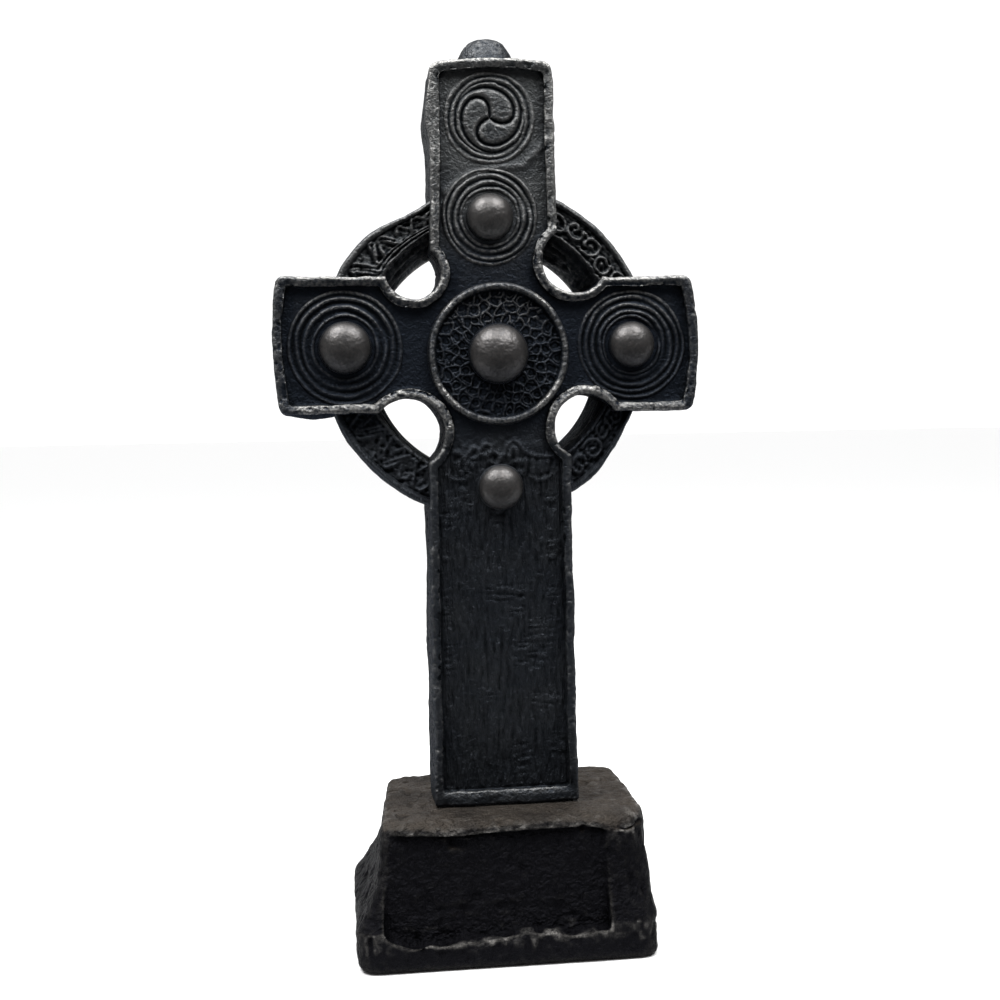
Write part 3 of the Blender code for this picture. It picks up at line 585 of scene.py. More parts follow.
def triskele_height(radius, angle):
    """Flat-topped lobes between winding grooves, and thin ridges outside them."""
    across, up = radius * np.cos(angle), radius * np.sin(angle)
    place = pair(across, up)
    gap = np.full(len(radius), 1e9)
    reaches = np.linspace(0, len(GROOVE) - 1, 60)
    turns = np.radians(np.interp(reaches, range(len(GROOVE)), [turn for turn, _ in GROOVE]))
    reaches = np.interp(reaches, range(len(GROOVE)), [reach for _, reach in GROOVE])
    for third in range(3):
        at = turns + math.radians(GROOVE_START + 120 * third)
        line = list(zip(reaches * np.cos(at), reaches * np.sin(at)))
        gap = np.minimum(gap, line_distance(across, up, line))
    plateau = 0.70 - 0.25 * ramp(radius, 4.0, 8.0)
    groove = hill(gap, 0.38)
    swell = 0.20 * ramp(gap, 0.2, 1.1)
    outer = ridges(radius, angle, (8.25, 9.6), 0.48, 31)
    fade = 1 - ramp(radius, 7.2, 8.0)
    inner = (plateau + swell) * (1 - 0.80 * groove) * fade
    grain = 0.06 * rough(place, 1.6, 33) + 0.04 * rough(place, 0.7, 34)
    return np.maximum(inner, outer) + grain + 0.04 + sunk_edge(radius, TRISKELE_REACH)


triskele = raised_disc(
    "triskele", TRISKELE_CENTRE, TRISKELE_REACH, STEP, 280, triskele_height
)
bosses.append(triskele)
print("triskele", triangles(triskele), "triangles")

# %% [markdown]
# ## The great roundel
# The roundel on the crossing has a raised rim like a worn cord, a large boss, and between them
# a net of small dark cells, as if a mesh had been pressed into the wax. Cells like these can be
# made from scattered seeds: a place is on a wall where its two nearest seeds are equally far.

# %% Raise the great roundel
DISC_CENTRE, DISC_REACH = (2.3, 130.6), 15.7
DISC_BOSS, DISC_BOSS_RISE = 6.75, 5.75
CORD_INNER, CORD_MIDDLE, CORD_RISE = 14.4, 14.75, 1.75
CELL_PITCH = 2.05


def cell_seeds():
    """Places of the cells' middles, scattered but never too close."""
    generator = np.random.default_rng(8)
    seeds = []
    for _ in range(4000):
        turn, reach = generator.uniform(0, math.tau), generator.uniform(7.4, 14.0)
        place = np.array((reach * math.cos(turn), reach * math.sin(turn)))
        crowd = CELL_PITCH * (0.75 + 0.25 * ramp(reach, 8.0, 12.0))
        if all(np.linalg.norm(place - other) > crowd for other in seeds):
            seeds.append(place)
    return np.array(seeds)


def great_height(radius, angle):
    """Centre boss, net of cells and cord-like rim."""
    across, up = radius * np.cos(angle), radius * np.sin(angle)
    place = pair(across, up)
    bent = place + 0.45 * pair(noise(place, 1.7, 71), noise(place, 1.7, 72))
    net = np.zeros(len(radius))
    floor = (radius > 6.6) & (radius < CORD_INNER)
    gaps = np.linalg.norm(bent[floor][:, None] - cell_seeds()[None], axis=2)
    gaps.partition(1, axis=1)
    wall = gaps[:, 1] - gaps[:, 0]
    pit = np.exp(-((gaps[:, 0] / 0.66) ** 2.6))
    loop = hill(gaps[:, 0] - 0.86, 0.20)
    uneven = 0.55 + 0.45 * noise(place[floor], 1.9, 74)
    strand = np.maximum(0.9 * hill(wall, 0.42), 0.7 * loop * uneven)
    net[floor] = 0.24 - 0.55 * pit + 0.50 * strand * (0.6 + 0.4 * noise(place[floor], 5.0, 79))
    net += 0.13 * rough(place, 1.3, 73) - 0.25 * ramp(noise(place, 1.2, 80), 0.3, 0.8)
    circle = pair(np.cos(angle), np.sin(angle)) * 15
    middle = CORD_MIDDLE + 0.18 * noise(circle, 6.0, 75)
    share = np.clip(np.abs(radius - middle) / 0.95, 0, 1)
    cord = CORD_RISE + 0.14 * noise(circle, 0.8, 76) + 0.22 * noise(circle, 4.0, 77)
    rim = cord * np.sqrt(np.clip(1 - share**2.4, 0, 1))
    boss = dome(radius, DISC_BOSS, DISC_BOSS_RISE) + hammered(radius, angle, 78, 0.13)
    height = np.maximum(np.maximum(rim, 0.05), np.where(radius < CORD_INNER, net, 0))
    return np.where(radius < DISC_BOSS, np.maximum(boss, 0.3), height)


great = raised_disc("great_roundel", DISC_CENTRE, DISC_REACH, STEP, 560, great_height)
print("great roundel", triangles(great), "triangles")


def back_height(radius, angle):
    """The plain roundel on the back, with a low worn lip."""
    lip = 0.95 * hill(radius - 14.3, 0.7)
    grain = hammered(radius, angle, 88, 0.12)
    return np.maximum(0.55 * ramp(15.6 - radius, 0, 0.8), lip) + grain


back = raised_disc("back_roundel", DISC_CENTRE, DISC_REACH, 0.3, 240, back_height, front=False)
bosses.append(back)

# %% [markdown]
# ## The ring
# The ring joins the four arms and sits behind their faces. It is spun too, from a section whose
# hole leans and narrows towards the back. Its front band carries worm-like interlace and small
# scrolls between a rounded outer bead and a few thin lines at the hole. Two stretches of its
# outer edge are flatter than a circle, and the hole is a little off the ring's own middle, as
# hand work often is.

# %% Spin and carve the ring
RING_CENTRE = (0.1, 131.4)
RING_FRONT = 4.8
RING_OUTER, BAND_OUTER, BAND_INNER, BORE_BACK = 36.9, 35.3, 28.5, 25.5
MOUTH_SHIFT, BORE_SHIFT = (0.8, 0.4), (0.4, -1.6)
FLATS = ((118.0, 2.4, 16.0), (-26.0, 1.2, 16.0))
WORM_LENGTHS = (8.0, 9.5, 6.6)
SCROLLS = (
    (14.2, 31.9, 2.0), (21.5, 31.2, 1.5), (28.0, 32.6, 1.9), (36.0, 31.4, 1.9),
    (44.5, 32.2, 2.1), (53.0, 32.6, 1.7), (61.0, 32.0, 2.0), (69.0, 32.4, 1.7),
)
RING_STEP = 0.17
RING_TURNS = 860


def span(start, end, step):
    """Evenly spaced values from start to end."""
    count = max(1, round(abs(end - start) / step))
    return [start + (end - start) * i / count for i in range(count)]


ring_profile = [(r, RING_FRONT) for r in span(BAND_INNER, BAND_OUTER, RING_STEP)]
ring_profile += [(r, RING_FRONT) for r in span(BAND_OUTER, RING_OUTER, RING_STEP)]
ring_profile += [(RING_OUTER, h) for h in span(RING_FRONT, -RING_FRONT, 0.6)]
ring_profile += [(r, -RING_FRONT) for r in span(RING_OUTER, BORE_BACK, 0.8)]
ring_profile += [
    (BORE_BACK + (BAND_INNER - BORE_BACK) * i / 20, -RING_FRONT + 2 * RING_FRONT * i / 20)
    for i in range(21)
]


def scroll_relief(across, up):
    """Small hooked rings with a low pellet in each, joined by curling lines."""
    total = np.zeros(len(across))
    place = pair(across, up)
    wobble = 0.35 * noise(place, 1.8, 89)
    middles = [
        (reach * math.cos(math.radians(turn)), reach * math.sin(math.radians(turn)), size)
        for turn, reach, size in SCROLLS
    ]
    for i, (mx, mz, size) in enumerate(middles):
        gap = np.hypot(across - mx, up - mz)
        turn = np.arctan2(up - mz, (across - mx) * (-1) ** i)
        curl = gap + wobble + 0.55 * turn / math.pi
        total = np.maximum(total, hill(curl - size, 0.42))
        total = np.maximum(total, 0.55 * hill(gap + wobble, 0.30 * size))
        if i:
            px, pz, _ = middles[i - 1]
            side = 1.5 * (-1) ** i
            bend_x = (px + mx) / 2 + side * (pz - mz) / 5
            bend_z = (pz + mz) / 2 + side * (mx - px) / 5
            link = line_distance(across, up, [(px, pz), (bend_x, bend_z), (mx, mz)])
            outside = ramp(np.hypot(across - px, up - pz), size * 0.8, size) * ramp(gap, 1.2, 1.9)
            total = np.maximum(total, 0.75 * hill(link, 0.38) * outside)
    return total


def worm_relief(radius, angle):
    """Strands that cross over and under each other and wander along the band."""
    total = np.zeros(len(radius))
    circle = pair(np.cos(angle), np.sin(angle)) * 32
    wander = 1.3 * noise(circle, 5.0, 91)
    for strand, length in enumerate(WORM_LENGTHS):
        phase = strand * math.tau / 3
        swing = math.tau * 32 / length * angle + phase + wander
        reach = 2.3 + 0.6 * noise(circle, 6.0, 94 + strand)
        line = 32.1 + reach * np.sin(swing) + 0.4 * noise(circle, 1.8, 92 + strand)
        slope = np.sqrt(1 + (reach * math.tau / length * np.cos(swing)) ** 2)
        over = 0.7 + 0.35 * np.sin(2 * swing + phase)
        total = np.maximum(total, over * hill((radius - line) / slope, 0.48))
    return total


ring = turned("cross_ring", ring_profile + ring_profile[:1], RING_TURNS,
              (RING_CENTRE[0], 0, RING_CENTRE[1]), (0, -1, 0))
points = read_points(ring)
across, up = points[:, 0] - RING_CENTRE[0], points[:, 2] - RING_CENTRE[1]
radius, angle = np.hypot(across, up), np.arctan2(up, across)
place = pair(across, up)
degrees = np.degrees(angle)
front = points[:, 1] < -RING_FRONT + 0.01
band = front & (radius < BAND_OUTER - 0.05)
bead = front & (radius >= BAND_OUTER - 0.05)
worms = worm_relief(radius, angle)
carving = np.where(degrees > 88, worms, scroll_relief(across, up))
lower = 0.7 * np.where(degrees < -90, worm_relief(radius, -angle), scroll_relief(across, -up))
carving = np.where(degrees <= 0, lower, carving)
arcs = np.zeros(len(radius))
for i, line in enumerate((28.9, 29.8, 30.7)):
    wobble = line + 0.20 * noise(place, 3.0, 95 + i)
    arcs = np.maximum(arcs, 0.8 * hill(radius - wobble, 0.26))
inner_share = ramp(31.2 - radius, 0, 0.6) * ramp(degrees, 84, 92) * ramp(146 - degrees, 0, 8)
carving = carving * (1 - inner_share) + arcs * inner_share
lip = hill(radius - 28.9, 0.35)
carving = np.maximum(carving, 0.6 * lip)
pitted = 0.35 * ramp(noise(place, 1.1, 100), 0.25, 0.8)
relief = 0.85 * carving + 0.30 * rough(place, 1.2, 97) + 0.10 * rough(place, 0.6, 99)
relief -= 0.25 + pitted
points[:, 1] -= np.where(band, relief, 0)
round_share = np.clip((radius - BAND_OUTER) / (RING_OUTER - BAND_OUTER), 0, 1)
bead_height = 0.80 * np.sin(np.pi * np.clip(round_share * 0.8 + 0.12, 0, 1)) ** 0.7
bead_height += 0.16 * rough(place, 1.9, 98) - 0.05 - 0.5 * ramp(round_share, 0.75, 1.0)
points[:, 1] -= np.where(bead, bead_height, 0)

deep = ramp(points[:, 1], -RING_FRONT, RING_FRONT)
at_hole = radius < BAND_INNER - 0.05
share = np.clip((radius - BAND_INNER) / (RING_OUTER - BAND_INNER), 0, 1)
near_mouth = (1 - share) * (1 - deep)
wall = at_hole & (np.abs(points[:, 1]) < RING_FRONT - 0.3)
streak = pair(angle * 27, points[:, 1])
gouge = 0.22 * noise(streak, (5.5, 0.9), 101) + 0.16 * rough(streak, 1.6, 103)
gouge -= 0.25 * ramp(noise(streak, (3.0, 0.8), 105), 0.35, 0.8)
shrink = 1 - np.where(wall, gouge, 0) / np.maximum(radius, 1)
for middle, depth, spread in FLATS:
    gap = (degrees - middle + 180) % 360 - 180
    shrink -= depth * hill(gap, spread) * share / np.maximum(radius, 1)
outer = radius > BAND_OUTER + 0.4
ragged = 0.30 * noise(points, 6.0, 107) + 0.14 * rough(points, 2.0, 108) - 0.15
shrink += np.where(outer, ragged, 0) / RING_OUTER
slid = np.where(share < 1, near_mouth, 0)
points[:, 0] = RING_CENTRE[0] + across * shrink + MOUTH_SHIFT[0] * slid
points[:, 2] = RING_CENTRE[1] + up * shrink + MOUTH_SHIFT[1] * slid
points[:, 0] += at_hole * deep * BORE_SHIFT[0]
points[:, 2] += at_hole * deep * BORE_SHIFT[1]
write_points(ring, points)
print("ring", triangles(ring), "triangles")

# %% [markdown]
# ## The base block
# The block looks like rough stone that was cast with the same skin: a battered block with a
# sunk panel in its front, a ledge under it and a worn shoulder. It starts as a copy of the
# measured solid, welded and remeshed to an even skin, and its edges are smoothed before the
# tooling is put on.

# %% Copy, remesh and weather the base
BASE_VOXEL = 0.42
BASE_LIMIT = 150000
BASE_TOP, LEDGE_Z = 30.0, 6.8
BASE_LEFT, BASE_RIGHT = -32.4, 33.9
base = bpy.data.objects.new("base_block", frame["nodes"]["base"].data.copy())
bpy.context.scene.collection.objects.link(base)
choose(base)
bpy.ops.object.mode_set(mode="EDIT")
bpy.ops.mesh.select_all(action="SELECT")
bpy.ops.mesh.remove_doubles(threshold=0.001 * MM)
bpy.ops.object.mode_set(mode="OBJECT")
apply_modifier(base, "REMESH", mode="VOXEL", voxel_size=BASE_VOXEL * MM)
apply_modifier(base, "SMOOTH", factor=0.5, iterations=8)

points = read_points(base)
outward = read_normals(base)
x, y, z = points.T
above = ramp(z, 0.3, 2.5)
tooling = 0.40 * noise(points, 7.0, 121) + 0.28 * rough(points, 3.0, 123)
tooling += 0.22 * rough(points, 1.3, 125, 2)
chips = -0.45 * ramp(noise(points, 2.6, 127), 0.45, 0.85)
in_panel = (y < -15) & (x > -25.1) & (x < 21.4) & (z > 8.5) & (z < 27.5)
calm = np.where(in_panel, 0.80, 1.0)
on_top = ramp(outward[:, 2], 0.6, 0.95) * ramp(z, 27, 29)
under_foot = on_top * ramp(18.4 - np.abs(x - 2.3), 0, 1.5) * ramp(9.6 - np.abs(y), 0, 1.5)
calm = calm * (1 - under_foot)
points += outward * ((tooling + chips) * calm * above - 0.15 * calm)[:, None]

front_edge = hill(y + 20, 2.2) * ramp(z, 26, 29)
wavy = np.interp(x, (-27, -15, -12, 1, 18, 23, 31), (0.2, -0.8, -1.2, -0.4, -0.3, -1.4, -2.2))
points[:, 2] += front_edge * wavy
ledge = hill(z - LEDGE_Z, 1.8) * ramp(-y, 20.5, 22.5) * ramp(21 - x, 0, 3)
ledge_wave = np.interp(x, (-26, -19, -7, 5, 15, 21), (0.8, -1.2, -0.5, 0.5, -0.3, 0.1))
points[:, 2] += ledge * (ledge_wave + 0.7 * noise(points, 3.4, 129))
points[:, 1] += ledge * 0.5 * noise(points, 2.6, 131)

points = np.clip(points, (BASE_LEFT, low[1], 0), (BASE_RIGHT, high[1], BASE_TOP))
write_points(base, points)
count = triangles(base)
if count > BASE_LIMIT:
    apply_modifier(base, "DECIMATE", ratio=BASE_LIMIT / count)
print("base:", count, "triangles, now", triangles(base))

# %% [markdown]
# ## Where the metal is worn, and where light is painted
# Hands and cloths polish what stands out, and dirt and wax stay in what lies deep. Each point's
# curvature tells which is which: it is worked out along every edge from how much the outward
# direction turns, then spread to the neighbours. It is kept as a number on the points, and the
# materials read it. Other numbers mark the zones: rubbed bosses with a painted sheen on their
# upper halves, the greyer upper arm and upper ring, painted lighter as if lit from above, the bare
# rims, lighter where they face up as a painted highlight and darker low down as painted shade,
# and the strokes in the long field.

# %% Keep curvature and zones on the points
def curvature(piece, spread):
    """Mean curvature at each point, in turns of direction per millimetre."""
    points, outward = read_points(piece), read_normals(piece)
    flat = np.empty(len(piece.data.edges) * 2, np.int32)
    piece.data.edges.foreach_get("vertices", flat)
    a, b = flat.reshape(-1, 2).T
    run = points[b] - points[a]
    bend = np.sum(run * (outward[b] - outward[a]), axis=1)
    bend /= np.maximum(np.sum(run * run, axis=1), 1e-4)
    size = len(points)
    edges = np.maximum(np.bincount(a, minlength=size) + np.bincount(b, minlength=size), 1)
    value = (np.bincount(a, bend, size) + np.bincount(b, bend, size)) / edges
    for _ in range(spread):
        near = (np.bincount(a, value[b], size) + np.bincount(b, value[a], size)) / edges
        value = 0.5 * value + 0.5 * near
    return value


BARE_AND_LIT_SHARE = 0.28


def keep(piece, name, values):
    """Store one number a point on the mesh."""
    layer = piece.data.attributes.new(name, "FLOAT", "POINT")
    layer.data.foreach_set("value", np.asarray(values, np.float32))


def finish_piece(piece, spread, burnish_and_top_sheen, patina_and_top_light, bare_and_lit, strokes):
    """Smooth shading and the numbers that the materials read."""
    bend = curvature(piece, spread)
    # the crest number takes in the bare share too, so it carries that share's painted light
    keep(piece, "crest", np.clip(bend + BARE_AND_LIT_SHARE * bare_and_lit, 0, 1.5))
    keep(piece, "hollow", np.clip(-bend, 0, 1.5))
    keep(piece, "burnish_and_top_sheen", burnish_and_top_sheen)
    keep(piece, "patina_and_top_light", patina_and_top_light)
    keep(piece, "bare_and_lit", bare_and_lit)
    keep(piece, "strokes", strokes)
    choose(piece)
    bpy.ops.object.shade_smooth()
    print(piece.name, "crest", np.percentile(bend, (5, 50, 95)).round(2))


bpy.ops.object.select_all(action="DESELECT")
for piece in bosses:
    piece.select_set(True)
bpy.context.view_layer.objects.active = bosses[0]
bpy.ops.object.join()
relief_piece = bosses[0]
relief_piece.name = "cross_bosses"


def rubbed_and_lit_above(points):
    """How much each place is rubbed: the bosses, with a painted sheen that makes their upper halves
    lighter.
    """
    x, y, z = points.T
    total = np.zeros(len(x))
    rounds = [(centre, size) for centre, size, *_ in RIDGED.values()] + [(DISC_CENTRE, 6.7)]
    for centre, size in rounds:
        gap = np.hypot(x - centre[0], z - centre[1])
        # painted sheen: the upper half of each boss gets more of the rubbed colour, as if lit from
        # above
        upper = 0.45 + 0.55 * ramp((z - centre[1]) / size, -0.75, 0.05)
        total = np.maximum(total, upper * (1 - ramp(gap, size * 0.88, size * 1.0)))
    return np.where(y < -6.9, total, 0)


def grey_and_lit_above(points):
    """How grey, and not blue-black, each place is: the upper arm most, painted lighter with height as
    if lit from above, and the shaft a little.
    """
    x, y, z = points.T
    # painted light: grey rises with height on the upper arm, as if lit from above
    upper = ramp(z, 146, 168) - 0.55 * ramp(z, 191.5, 195)
    shaft = 0.32 * ramp(118 - z, 0, 8)
    return np.clip(np.maximum(upper, shaft), 0, 1)


def stroked(points):
    """Where the long field carries the modeller's fine strokes."""
    x, y, z = points.T
    edge = line_distance(x, z, field_edge)
    in_depth = ramp(y, RIM_FRONT, -6.8) * ramp(-5.2 - y, 0, 0.3)
    return in_depth * ramp(edge, 0, 0.8) * ramp(LONG_FIELD_TOP - z, 0, 6)


def bare_and_lit_above(points, outward_z):
    """How bare the crests are worn, with painted light: the raised rims most, lighter where they face
    up as a painted highlight and darker low down or facing down as painted shade, and the upper arm
    and upper ring lighter as if lit from above.
    """
    x, y, z = points.T
    edge = line_distance(x, z, field_edge)
    rim = ramp(-7.0 - y, 0, 0.5) * ramp(3.4 - edge, 0, 0.8)
    disc = np.hypot(x - DISC_CENTRE[0], z - DISC_CENTRE[1])
    disc_rim = hill(disc - 14.8, 0.8)
    # painted light: the upper arm and the upper ring get the bare colour, as if lit from above
    upper = 0.45 * ramp(z, 146, 168)
    lit_upper_ring = 0.35 * ramp(z, 134, 142)
    # painted shade: rims low down, at the arm ends and facing down stay darker
    shaded = 0.60 * ramp(116 - z, 0, 10) + 0.45 * ramp(np.abs(x - 1), 42.0, 43.5)
    shaded += 0.20 * ramp(-outward_z, 0.1, 0.6)
    # painted highlight: up-facing rims get more of the bare colour
    worn_and_lit_rim = rim * (0.62 + 0.38 * ramp(outward_z, -0.1, 0.3) - shaded)
    return np.clip(np.maximum.reduce([worn_and_lit_rim, 0.35 * disc_rim, upper, lit_upper_ring]), 0, 1)


for piece in (body, relief_piece, great, ring):
    points, facing_up = read_points(piece), read_normals(piece)[:, 2]
    patina_and_top_light, worn_and_lit = grey_and_lit_above(points), bare_and_lit_above(points, facing_up)
    if piece is ring:
        inside = np.hypot(points[:, 0] - RING_CENTRE[0], points[:, 2] - RING_CENTRE[1])
        # painted light: the upper half of the ring is greyer, as if lit from above
        patina_and_top_light = np.maximum(patina_and_top_light, 0.8 * ramp(points[:, 2], 130, 142))
        wall_share = ramp(BAND_INNER - inside, -0.2, 0.4)
        patina_and_top_light = np.maximum(patina_and_top_light, wall_share)
        worn_and_lit = np.maximum(worn_and_lit, 0.9 * wall_share * ramp(points[:, 2], 132, 140))
    finish_piece(piece, 2, rubbed_and_lit_above(points), patina_and_top_light, worn_and_lit, stroked(points))

points = read_points(base)
outward = read_normals(base)
x, y, z = points.T
# browner tone on the top faces, also painted lighter there as if lit from above
brown_lit_top = ramp(outward[:, 2], 0.3, 0.8) * ramp(z, 22, 27)
on_ledge = ramp(-y, 20, 21.5) * ramp(9.2 - z, 0, 1.2) * ramp(z, 3.5, 5.5)
shoulder = ramp(x, 20, 26) * ramp(z, 22, 26)
# bare colour on the ledge and along the top: partly wear, partly a painted highlight where light
# falls; the shoulder is wear
bare_and_lit_base = np.maximum.reduce([0.5 * on_ledge, 0.6 * shoulder, 0.35 * ramp(z, 25, 28)])
bare_and_lit_base = bare_and_lit_base * (0.2 + 0.8 * ramp(noise(points, 1.5, 133), -0.1, 0.6))
none = np.zeros(len(points))
finish_piece(base, 3, none, brown_lit_top, bare_and_lit_base, none)

# %% [markdown]
# ## The dark cast skin
# The real surface is dark cast metal with a near-black patina. It is mostly metallic: it mirrors
# the lamps softly, but stays almost black where nothing bright faces it. The crests are rubbed to
# a dull grey, and the rims to a lighter one in specks, lighter still where they face up, which is
# a painted highlight. The upper arm and upper ring are painted greyer, as if lit from above. The
# bosses are rubbed to a soft neutral colour with a painted sheen on their upper halves, and the
# hollows hold black dirt. The eye also sees fine casting grain, a coarser wrinkle and, in the long
# field, upright strokes: all three are one bump. The base has the same recipe, but it is duller and
# rougher, and browner and lighter on top, partly its own tone and partly painted light from above.
# Its ledge and top edge carry the bare colour, partly wear and partly a painted highlight.
# One function adds a node with its settings and its links, and a few small ones say what is asked
# of it again and again.

# %% Materials
def linear(code):
    """A hex colour as linear numbers, with full alpha."""
    values = [int(code[i : i + 2], 16) / 255 for i in (1, 3, 5)]
    values = [v / 12.92 if v <= 0.04045 else ((v + 0.055) / 1.055) ** 2.4 for v in values]
    return (*values, 1.0)


def add_node(tree, kind, inputs=None, **settings):
    """Add one node, set it up and link its inputs."""
    node = tree.nodes.new("ShaderNode" + kind)
    for name, value in settings.items():
        setattr(node, name, value)
    for name, value in (inputs or {}).items():
        if isinstance(value, bpy.types.NodeSocket):
            tree.links.new(value, node.inputs[name])
        else:
            node.inputs[name].default_value = value
    return node


def remap(tree, value, start, end, low=0.0, high=1.0):
    """A value from one range to another."""
    inputs = {"Value": value, "From Min": start, "From Max": end, "To Min": low, "To Max": high}
    return add_node(tree, "MapRange", inputs).outputs[0]


def maths(tree, operation, *values, clamp=False):
    """One sum."""
    inputs = dict(enumerate(values))
    return add_node(tree, "Math", inputs, operation=operation, use_clamp=clamp).outputs[0]


EDGE_TINT = "#74757A"
SPECK_MM, CLOUD_MM = 0.7, 9.0
STROKE_WIDTH_MM, STROKE_LENGTH_MM, STROKE_BUMP = 0.36, 2.8, 0.75


def cast_skin(name, colours, metallic, roughness, specular, grain_mm, grain_depth):
    """A near-black casting: deep, plain, grey, dull, worn and rubbed colours, and its grain; the grey
    also paints light on upper parts, the worn one a highlight on bare rims, and the rubbed one a
    sheen on the upper halves of bosses.
    """
    deep, plain, grey, dull, worn_and_lit, rubbed_sheen_colour = [linear(code) for code in colours]
    material = bpy.data.materials.new(name)
    material.use_nodes = True
    tree = material.node_tree
    shader = tree.nodes["Principled BSDF"]
    place = add_node(tree, "TexCoord").outputs["Object"]

    def number(key):
        """A number kept on the points."""
        return add_node(tree, "Attribute", attribute_name=key).outputs["Fac"]

    def speckle(scale, detail, **more):
        """Noise over the piece, with so many cells a metre."""
        inputs = {"Vector": place, "Scale": scale, "Detail": detail, **more}
        return add_node(tree, "TexNoise", inputs).outputs["Fac"]

    def mix(share, one, other):
        """One colour turning into another."""
        inputs = {0: share, 6: one, 7: other}
        return add_node(tree, "Mix", inputs, data_type="RGBA").outputs[2]

    crest, hollow_share, burnish_and_top_sheen = number("crest"), number("hollow"), number("burnish_and_top_sheen")
    patina_and_top_light, bare_and_lit, strokes = number("patina_and_top_light"), number("bare_and_lit"), number("strokes")
    speck = speckle(1 / (SPECK_MM * MM), 3.0)
    cloud = speckle(1 / (CLOUD_MM * MM), 4.0)

    # The plain colour turns grey in soft clouds and, as painted light, on the upper parts; it turns
    # black in hollows and light on worn crests and on bare rims, where up-facing rims carry a painted
    # highlight.
    greyer_and_lit = maths(tree, "MULTIPLY", patina_and_top_light, remap(tree, cloud, 0.35, 0.65, 0.6, 1.2), clamp=True)
    colour = mix(greyer_and_lit, plain, grey)
    colour = mix(remap(tree, hollow_share, 0.05, 0.9), colour, deep)
    patchy = remap(tree, speck, 0.36, 0.6, 0.25, 1.0)
    wear = maths(tree, "MULTIPLY", remap(tree, crest, 0.05, 0.80), patchy, clamp=True)
    # worn colour on crests; on bare rims it is also a painted highlight where they face up
    colour = mix(wear, colour, mix(bare_and_lit, dull, worn_and_lit))
    # painted sheen: the rubbed colour covers the bosses, partly real rubbing and most on their upper
    # halves
    polish_and_sheen = maths(tree, "MULTIPLY", burnish_and_top_sheen, remap(tree, speck, 0.3, 0.6, 0.72, 1.0))
    colour = mix(polish_and_sheen, colour, rubbed_sheen_colour)

    # What is rubbed or bare is also a little smoother.
    gloss = maths(tree, "MAXIMUM", polish_and_sheen, bare_and_lit)
    shine = remap(tree, gloss, 0.0, 1.0, roughness, roughness - 0.12)

    # Grain, wrinkle and strokes make one height in millimetres, nearly gone on rubbed bosses.
    grain = speckle(1 / (grain_mm * MM), 3.0)
    wrinkle = speckle(0.33 / (grain_mm * MM), 4.0, Distortion=0.8)
    width, length = 1 / (STROKE_WIDTH_MM * MM), 1 / (STROKE_LENGTH_MM * MM)
    drawn = add_node(
        tree, "VectorMath", {0: place, 1: (width, width, length)}, operation="MULTIPLY"
    ).outputs[0]
    stroke = speckle(1.0, 2.0, Vector=drawn)
    fine = maths(tree, "MULTIPLY", grain, grain_depth)
    coarse = maths(tree, "MULTIPLY_ADD", wrinkle, grain_depth * 2.4, fine)
    marks = maths(tree, "MULTIPLY", stroke, strokes)
    height = maths(tree, "MULTIPLY_ADD", marks, STROKE_BUMP, coarse)
    calm = remap(tree, burnish_and_top_sheen, 0.0, 1.0, 1.0, 0.22)
    bump = add_node(tree, "Bump", {"Height": height, "Strength": calm, "Distance": MM})

    tree.links.new(colour, shader.inputs["Base Color"])
    tree.links.new(shine, shader.inputs["Roughness"])
    tree.links.new(bump.outputs["Normal"], shader.inputs["Normal"])
    shader.inputs["Metallic"].default_value = metallic
    shader.inputs["Specular Tint"].default_value = linear(EDGE_TINT)
    shader.inputs["Specular IOR Level"].default_value = specular
    return material


cross_skin = cast_skin(
    "dark_cast_metal",
    ("#15181B", "#262B33", "#4F5152", "#42454A", "#A5A4A1", "#605E5D"),
    metallic=0.88,
    roughness=0.54,
    specular=0.3,
    grain_mm=0.35,
    grain_depth=0.14,
)
base_skin = cast_skin(
    "rough_cast_base",
    ("#050506", "#141417", "#433E39", "#302F2E", "#A4A19D", "#A4A19D"),
    metallic=0.55,
    roughness=0.50,
    specular=0.08,
    grain_mm=0.6,
    grain_depth=0.60,
)
for piece in (body, relief_piece, great, ring):
    piece.data.materials.clear()
    piece.data.materials.append(cross_skin)
    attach(piece, "root")
    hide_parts("cross")
base.data.materials.clear()
base.data.materials.append(base_skin)
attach(base, "root")
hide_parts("base")
print("materials:", cross_skin.name, base_skin.name)

# %% [markdown]
# ## Floor, light and camera
# A pale card lies under the object and ends just in front of it. Two soft boxes hang above it,
# a little in front, which lights each boss from the top and rakes the relief. The surroundings
# are white behind and dim in front, like a photographer's table with a white backdrop.

# %% Stage
FLOOR_SIZE, FLOOR_FRONT = 8.0, -0.046
bpy.ops.mesh.primitive_plane_add(size=FLOOR_SIZE, location=(0, FLOOR_SIZE / 2 + FLOOR_FRONT, 0))
floor = bpy.context.object
floor.name = "floor"
paper = bpy.data.materials.new("matt_white_paper")
paper.use_nodes = True
paper_shader = paper.node_tree.nodes["Principled BSDF"]
paper_shader.inputs["Base Color"].default_value = linear("#FAFAFA")
paper_shader.inputs["Roughness"].default_value = 0.9
floor.data.materials.append(paper)


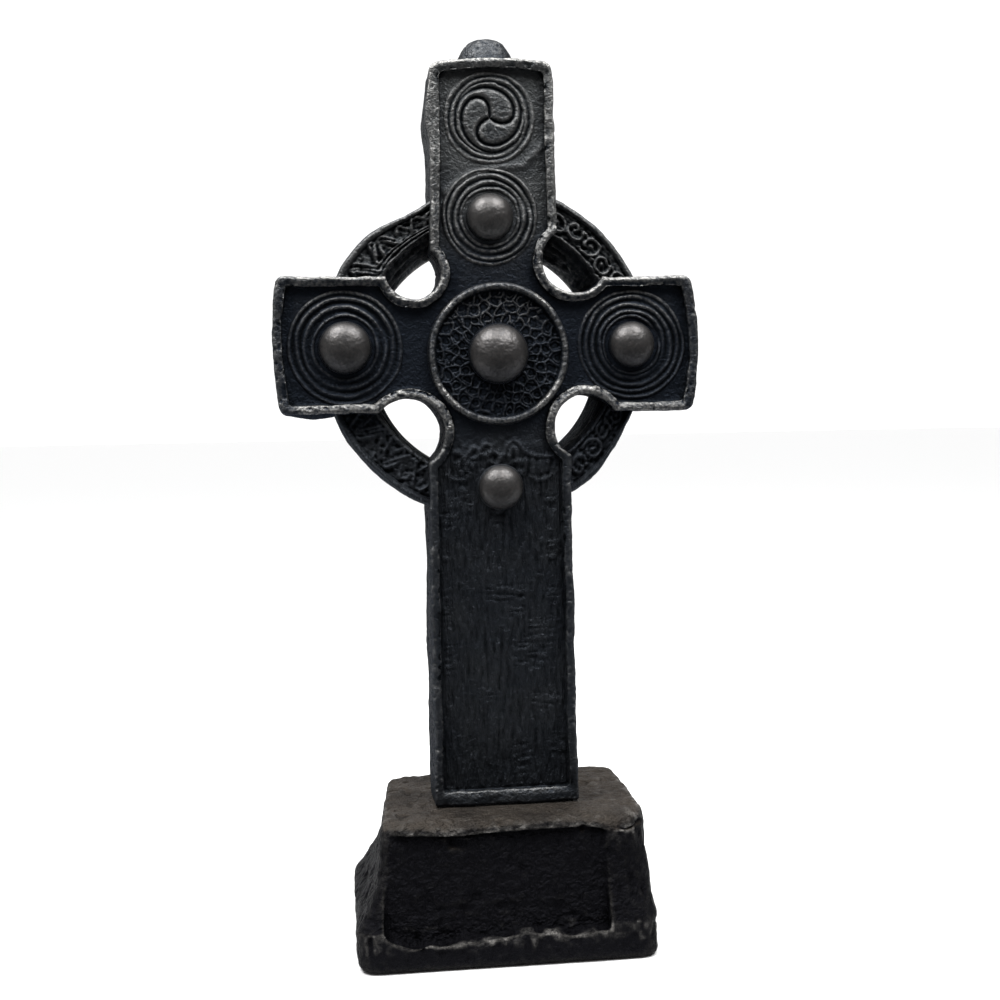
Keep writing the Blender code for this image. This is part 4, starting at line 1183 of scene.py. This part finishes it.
def soft_box(name, place, aim, size, power):
    """A square soft lamp turned towards a point."""
    lamp = bpy.data.lights.new(name, "AREA")
    lamp.shape = "SQUARE"
    lamp.size = size
    lamp.energy = power
    item = bpy.data.objects.new(name, lamp)
    bpy.context.scene.collection.objects.link(item)
    item.location = place
    item.rotation_euler = (Vector(aim) - Vector(place)).to_track_quat("-Z", "Y").to_euler()


BOX_SIZE, BOX_AIM = 0.34, (0, 0, 0.12)
soft_box("left_box", (-0.28, -0.14, 0.66), BOX_AIM, BOX_SIZE, 4.4)
soft_box("right_box", (0.24, -0.22, 0.66), BOX_AIM, BOX_SIZE, 3.6)

top_light = bpy.data.lights.new("white_ceiling", "SUN")
top_light.energy = 1.7
top_light.angle = math.radians(70)
ceiling = bpy.data.objects.new("white_ceiling", top_light)
bpy.context.scene.collection.objects.link(ceiling)
ceiling.rotation_euler = (math.radians(-25), 0, 0)

world = bpy.data.worlds.new("studio")
bpy.context.scene.world = world
world.use_nodes = True
tree = world.node_tree
direction = add_node(tree, "TexCoord").outputs["Generated"]
parts = add_node(tree, "SeparateXYZ", {"Vector": direction})
behind = remap(tree, parts.outputs["Y"], 0.35, 0.78, 0.13, 1.15)
above = remap(tree, parts.outputs["Z"], 0.45, 0.95, 0.0, 0.7)
sky = maths(tree, "MAXIMUM", behind, above)
tree.links.new(sky, tree.nodes["Background"].inputs["Strength"])
tree.nodes["Background"].inputs["Color"].default_value = (1, 1, 1, 1)

CAMERA_AT = (-34.2 * MM, -308.0 * MM, 116.6 * MM)
YAW, PITCH, ROLL = math.radians(6.866), math.radians(-3.445), math.radians(-1.051)
camera_data = bpy.data.cameras.new("camera")
camera_data.lens = 49.39
camera_data.sensor_width = 36.0
camera_data.clip_start = 0.01
camera = bpy.data.objects.new("camera", camera_data)
bpy.context.scene.collection.objects.link(camera)
camera.matrix_world = (
    Matrix.Translation(CAMERA_AT)
    @ Matrix.Rotation(-YAW, 4, "Z")
    @ Matrix.Rotation(math.pi / 2 + PITCH, 4, "X")
    @ Matrix.Rotation(ROLL, 4, "Z")
)
bpy.context.scene.camera = camera
bpy.context.scene.view_settings.view_transform = "Standard"
print("camera at", [round(value, 3) for value in camera.location])
